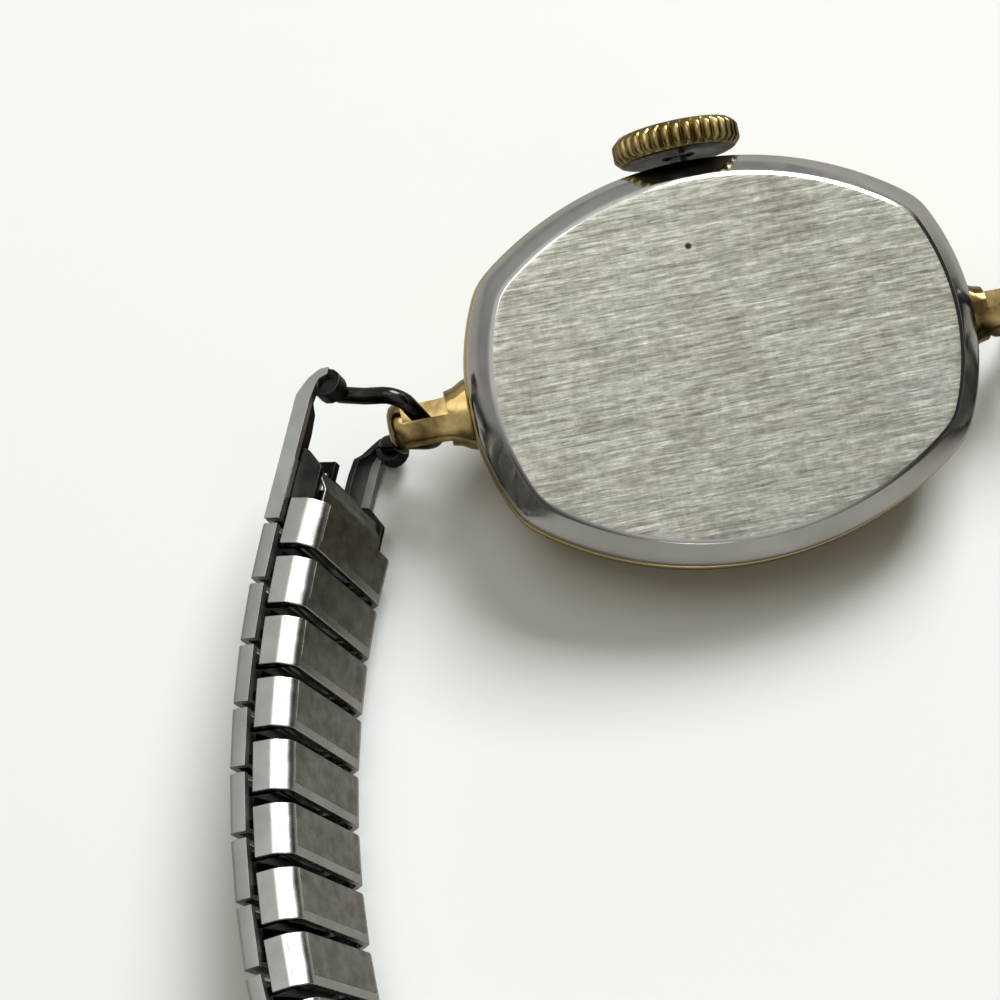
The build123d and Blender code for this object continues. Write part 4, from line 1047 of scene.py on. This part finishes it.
stage = {
    "floorHalf": 400, "floorSeen": (0.765, 0.795, 0.79), "floorDark": (0.745, 0.765, 0.755),
    "floorMirrored": (0.36, 0.355, 0.34), "floorLit": (0.42, 0.38, 0.30), "floorSide": (0.05, 0.05, 0.048),
    "sidePlace": (0.062, 0.0, 0.0), "sideStart": 0.045, "sideEnd": 0.032,
    # height, from 0 straight down to 1 straight up, and brightness
    "sky": ((0.45, 0.2), (0.53, 0.3), (0.75, 0.68), (0.93, 0.72)), "skyBlueShare": 0.985,
    "dimmed": 0.37, "skyWarmth": (1.0, 0.93, 0.74), "backdrop": (0.86, 0.88, 0.87),
    "darkColour": (0.03, 0.03, 0.03),
    # direction, strength, and where along it the dark begins and is full
    "darkSides": (((0.96, -0.25, 0.1), 0.98, 0.54, 0.78), ((-0.75, -0.62, 0.2), 0.9, 0.78, 0.95)),
}


def floorMaterial():
    # a pale table: the camera sees it paler than the metal and the bounced light do,
    # and the metal also sees one dark patch of it beside the case
    material, nodes, links, shader = newMaterial("paleFloor")
    nodes.remove(shader)
    output = nodes["Material Output"]
    tone = noise(nodes, links, 9, 3)
    path = nodes.new("ShaderNodeLightPath")
    seen = ramp(nodes, links, tone, [(0.3, stage["floorDark"]), (0.7, stage["floorSeen"])])
    reach = distanceTo(nodes, links, stage["sidePlace"])
    side = spread(nodes, links, reach, 0.0, 1.0, stage["sideStart"], stage["sideEnd"])
    mirrored = mixColours(nodes, links, side, stage["floorMirrored"], stage["floorSide"])
    lit = mixColours(nodes, links, path.outputs["Is Glossy Ray"], stage["floorLit"], mirrored)
    diffuse = nodes.new("ShaderNodeBsdfDiffuse")
    links.new(mixColours(nodes, links, path.outputs["Is Camera Ray"], lit, seen), diffuse.inputs["Color"])
    links.new(diffuse.outputs["BSDF"], output.inputs["Surface"])
    return material


def setWorld():
    # bright above and grey at the horizon, with dark sides that the polished flank mirrors
    world = bpy.data.worlds.new("studio")
    bpy.context.scene.world = world
    world.use_nodes = True
    nodes, links = world.node_tree.nodes, world.node_tree.links
    background = nodes["Background"]
    where = nodes.new("ShaderNodeTexCoord")
    split = nodes.new("ShaderNodeSeparateXYZ")
    links.new(where.outputs["Generated"], split.inputs["Vector"])
    height = spread(nodes, links, split.outputs["Z"], 0.0, 1.0, -1.0, 1.0)
    shade = ramp(nodes, links, height, [
        (level, (value, value, value * stage["skyBlueShare"])) for level, value in stage["sky"]])
    for direction, strength, first, last in stage["darkSides"]:
        dot = nodes.new("ShaderNodeVectorMath")
        dot.operation = "DOT_PRODUCT"
        dot.inputs[1].default_value = Vector(direction).normalized()
        links.new(where.outputs["Generated"], dot.inputs[0])
        dark = spread(nodes, links, dot.outputs["Value"], 0.0, strength, first, last)
        shade = mixColours(nodes, links, dark, shade, stage["darkColour"])
    # full strength in reflections, warmer and dimmer as light on the object
    path = nodes.new("ShaderNodeLightPath")
    glossy, camera = path.outputs["Is Glossy Ray"], path.outputs["Is Camera Ray"]
    tint = mixColours(nodes, links, glossy, stage["skyWarmth"], (1.0, 1.0, 1.0))
    # the camera sees a pale backdrop past the floor's edge
    links.new(mixColours(nodes, links, camera, multiplied(nodes, links, shade, tint), stage["backdrop"]),
              background.inputs["Color"])
    direct = nodes.new("ShaderNodeMath")
    direct.operation = "MAXIMUM"
    links.new(glossy, direct.inputs[0])
    links.new(camera, direct.inputs[1])
    links.new(spread(nodes, links, direct.outputs["Value"], stage["dimmed"], 1.0, 0.0, 1.0),
              background.inputs["Strength"])


def setStage():
    half = stage["floorHalf"]
    floor = newObject("floor", [(-half, -half, 0), (half, -half, 0), (half, half, 0), (-half, half, 0)],
                      [(0, 1, 2, 3)], Matrix.Identity(4))
    floor.data.materials.append(floorMaterial())
    softLamp("window")
    softLamp("ceiling")
    setWorld()


setCamera()
setStage()
bpy.context.scene.view_settings.view_transform = "Standard"
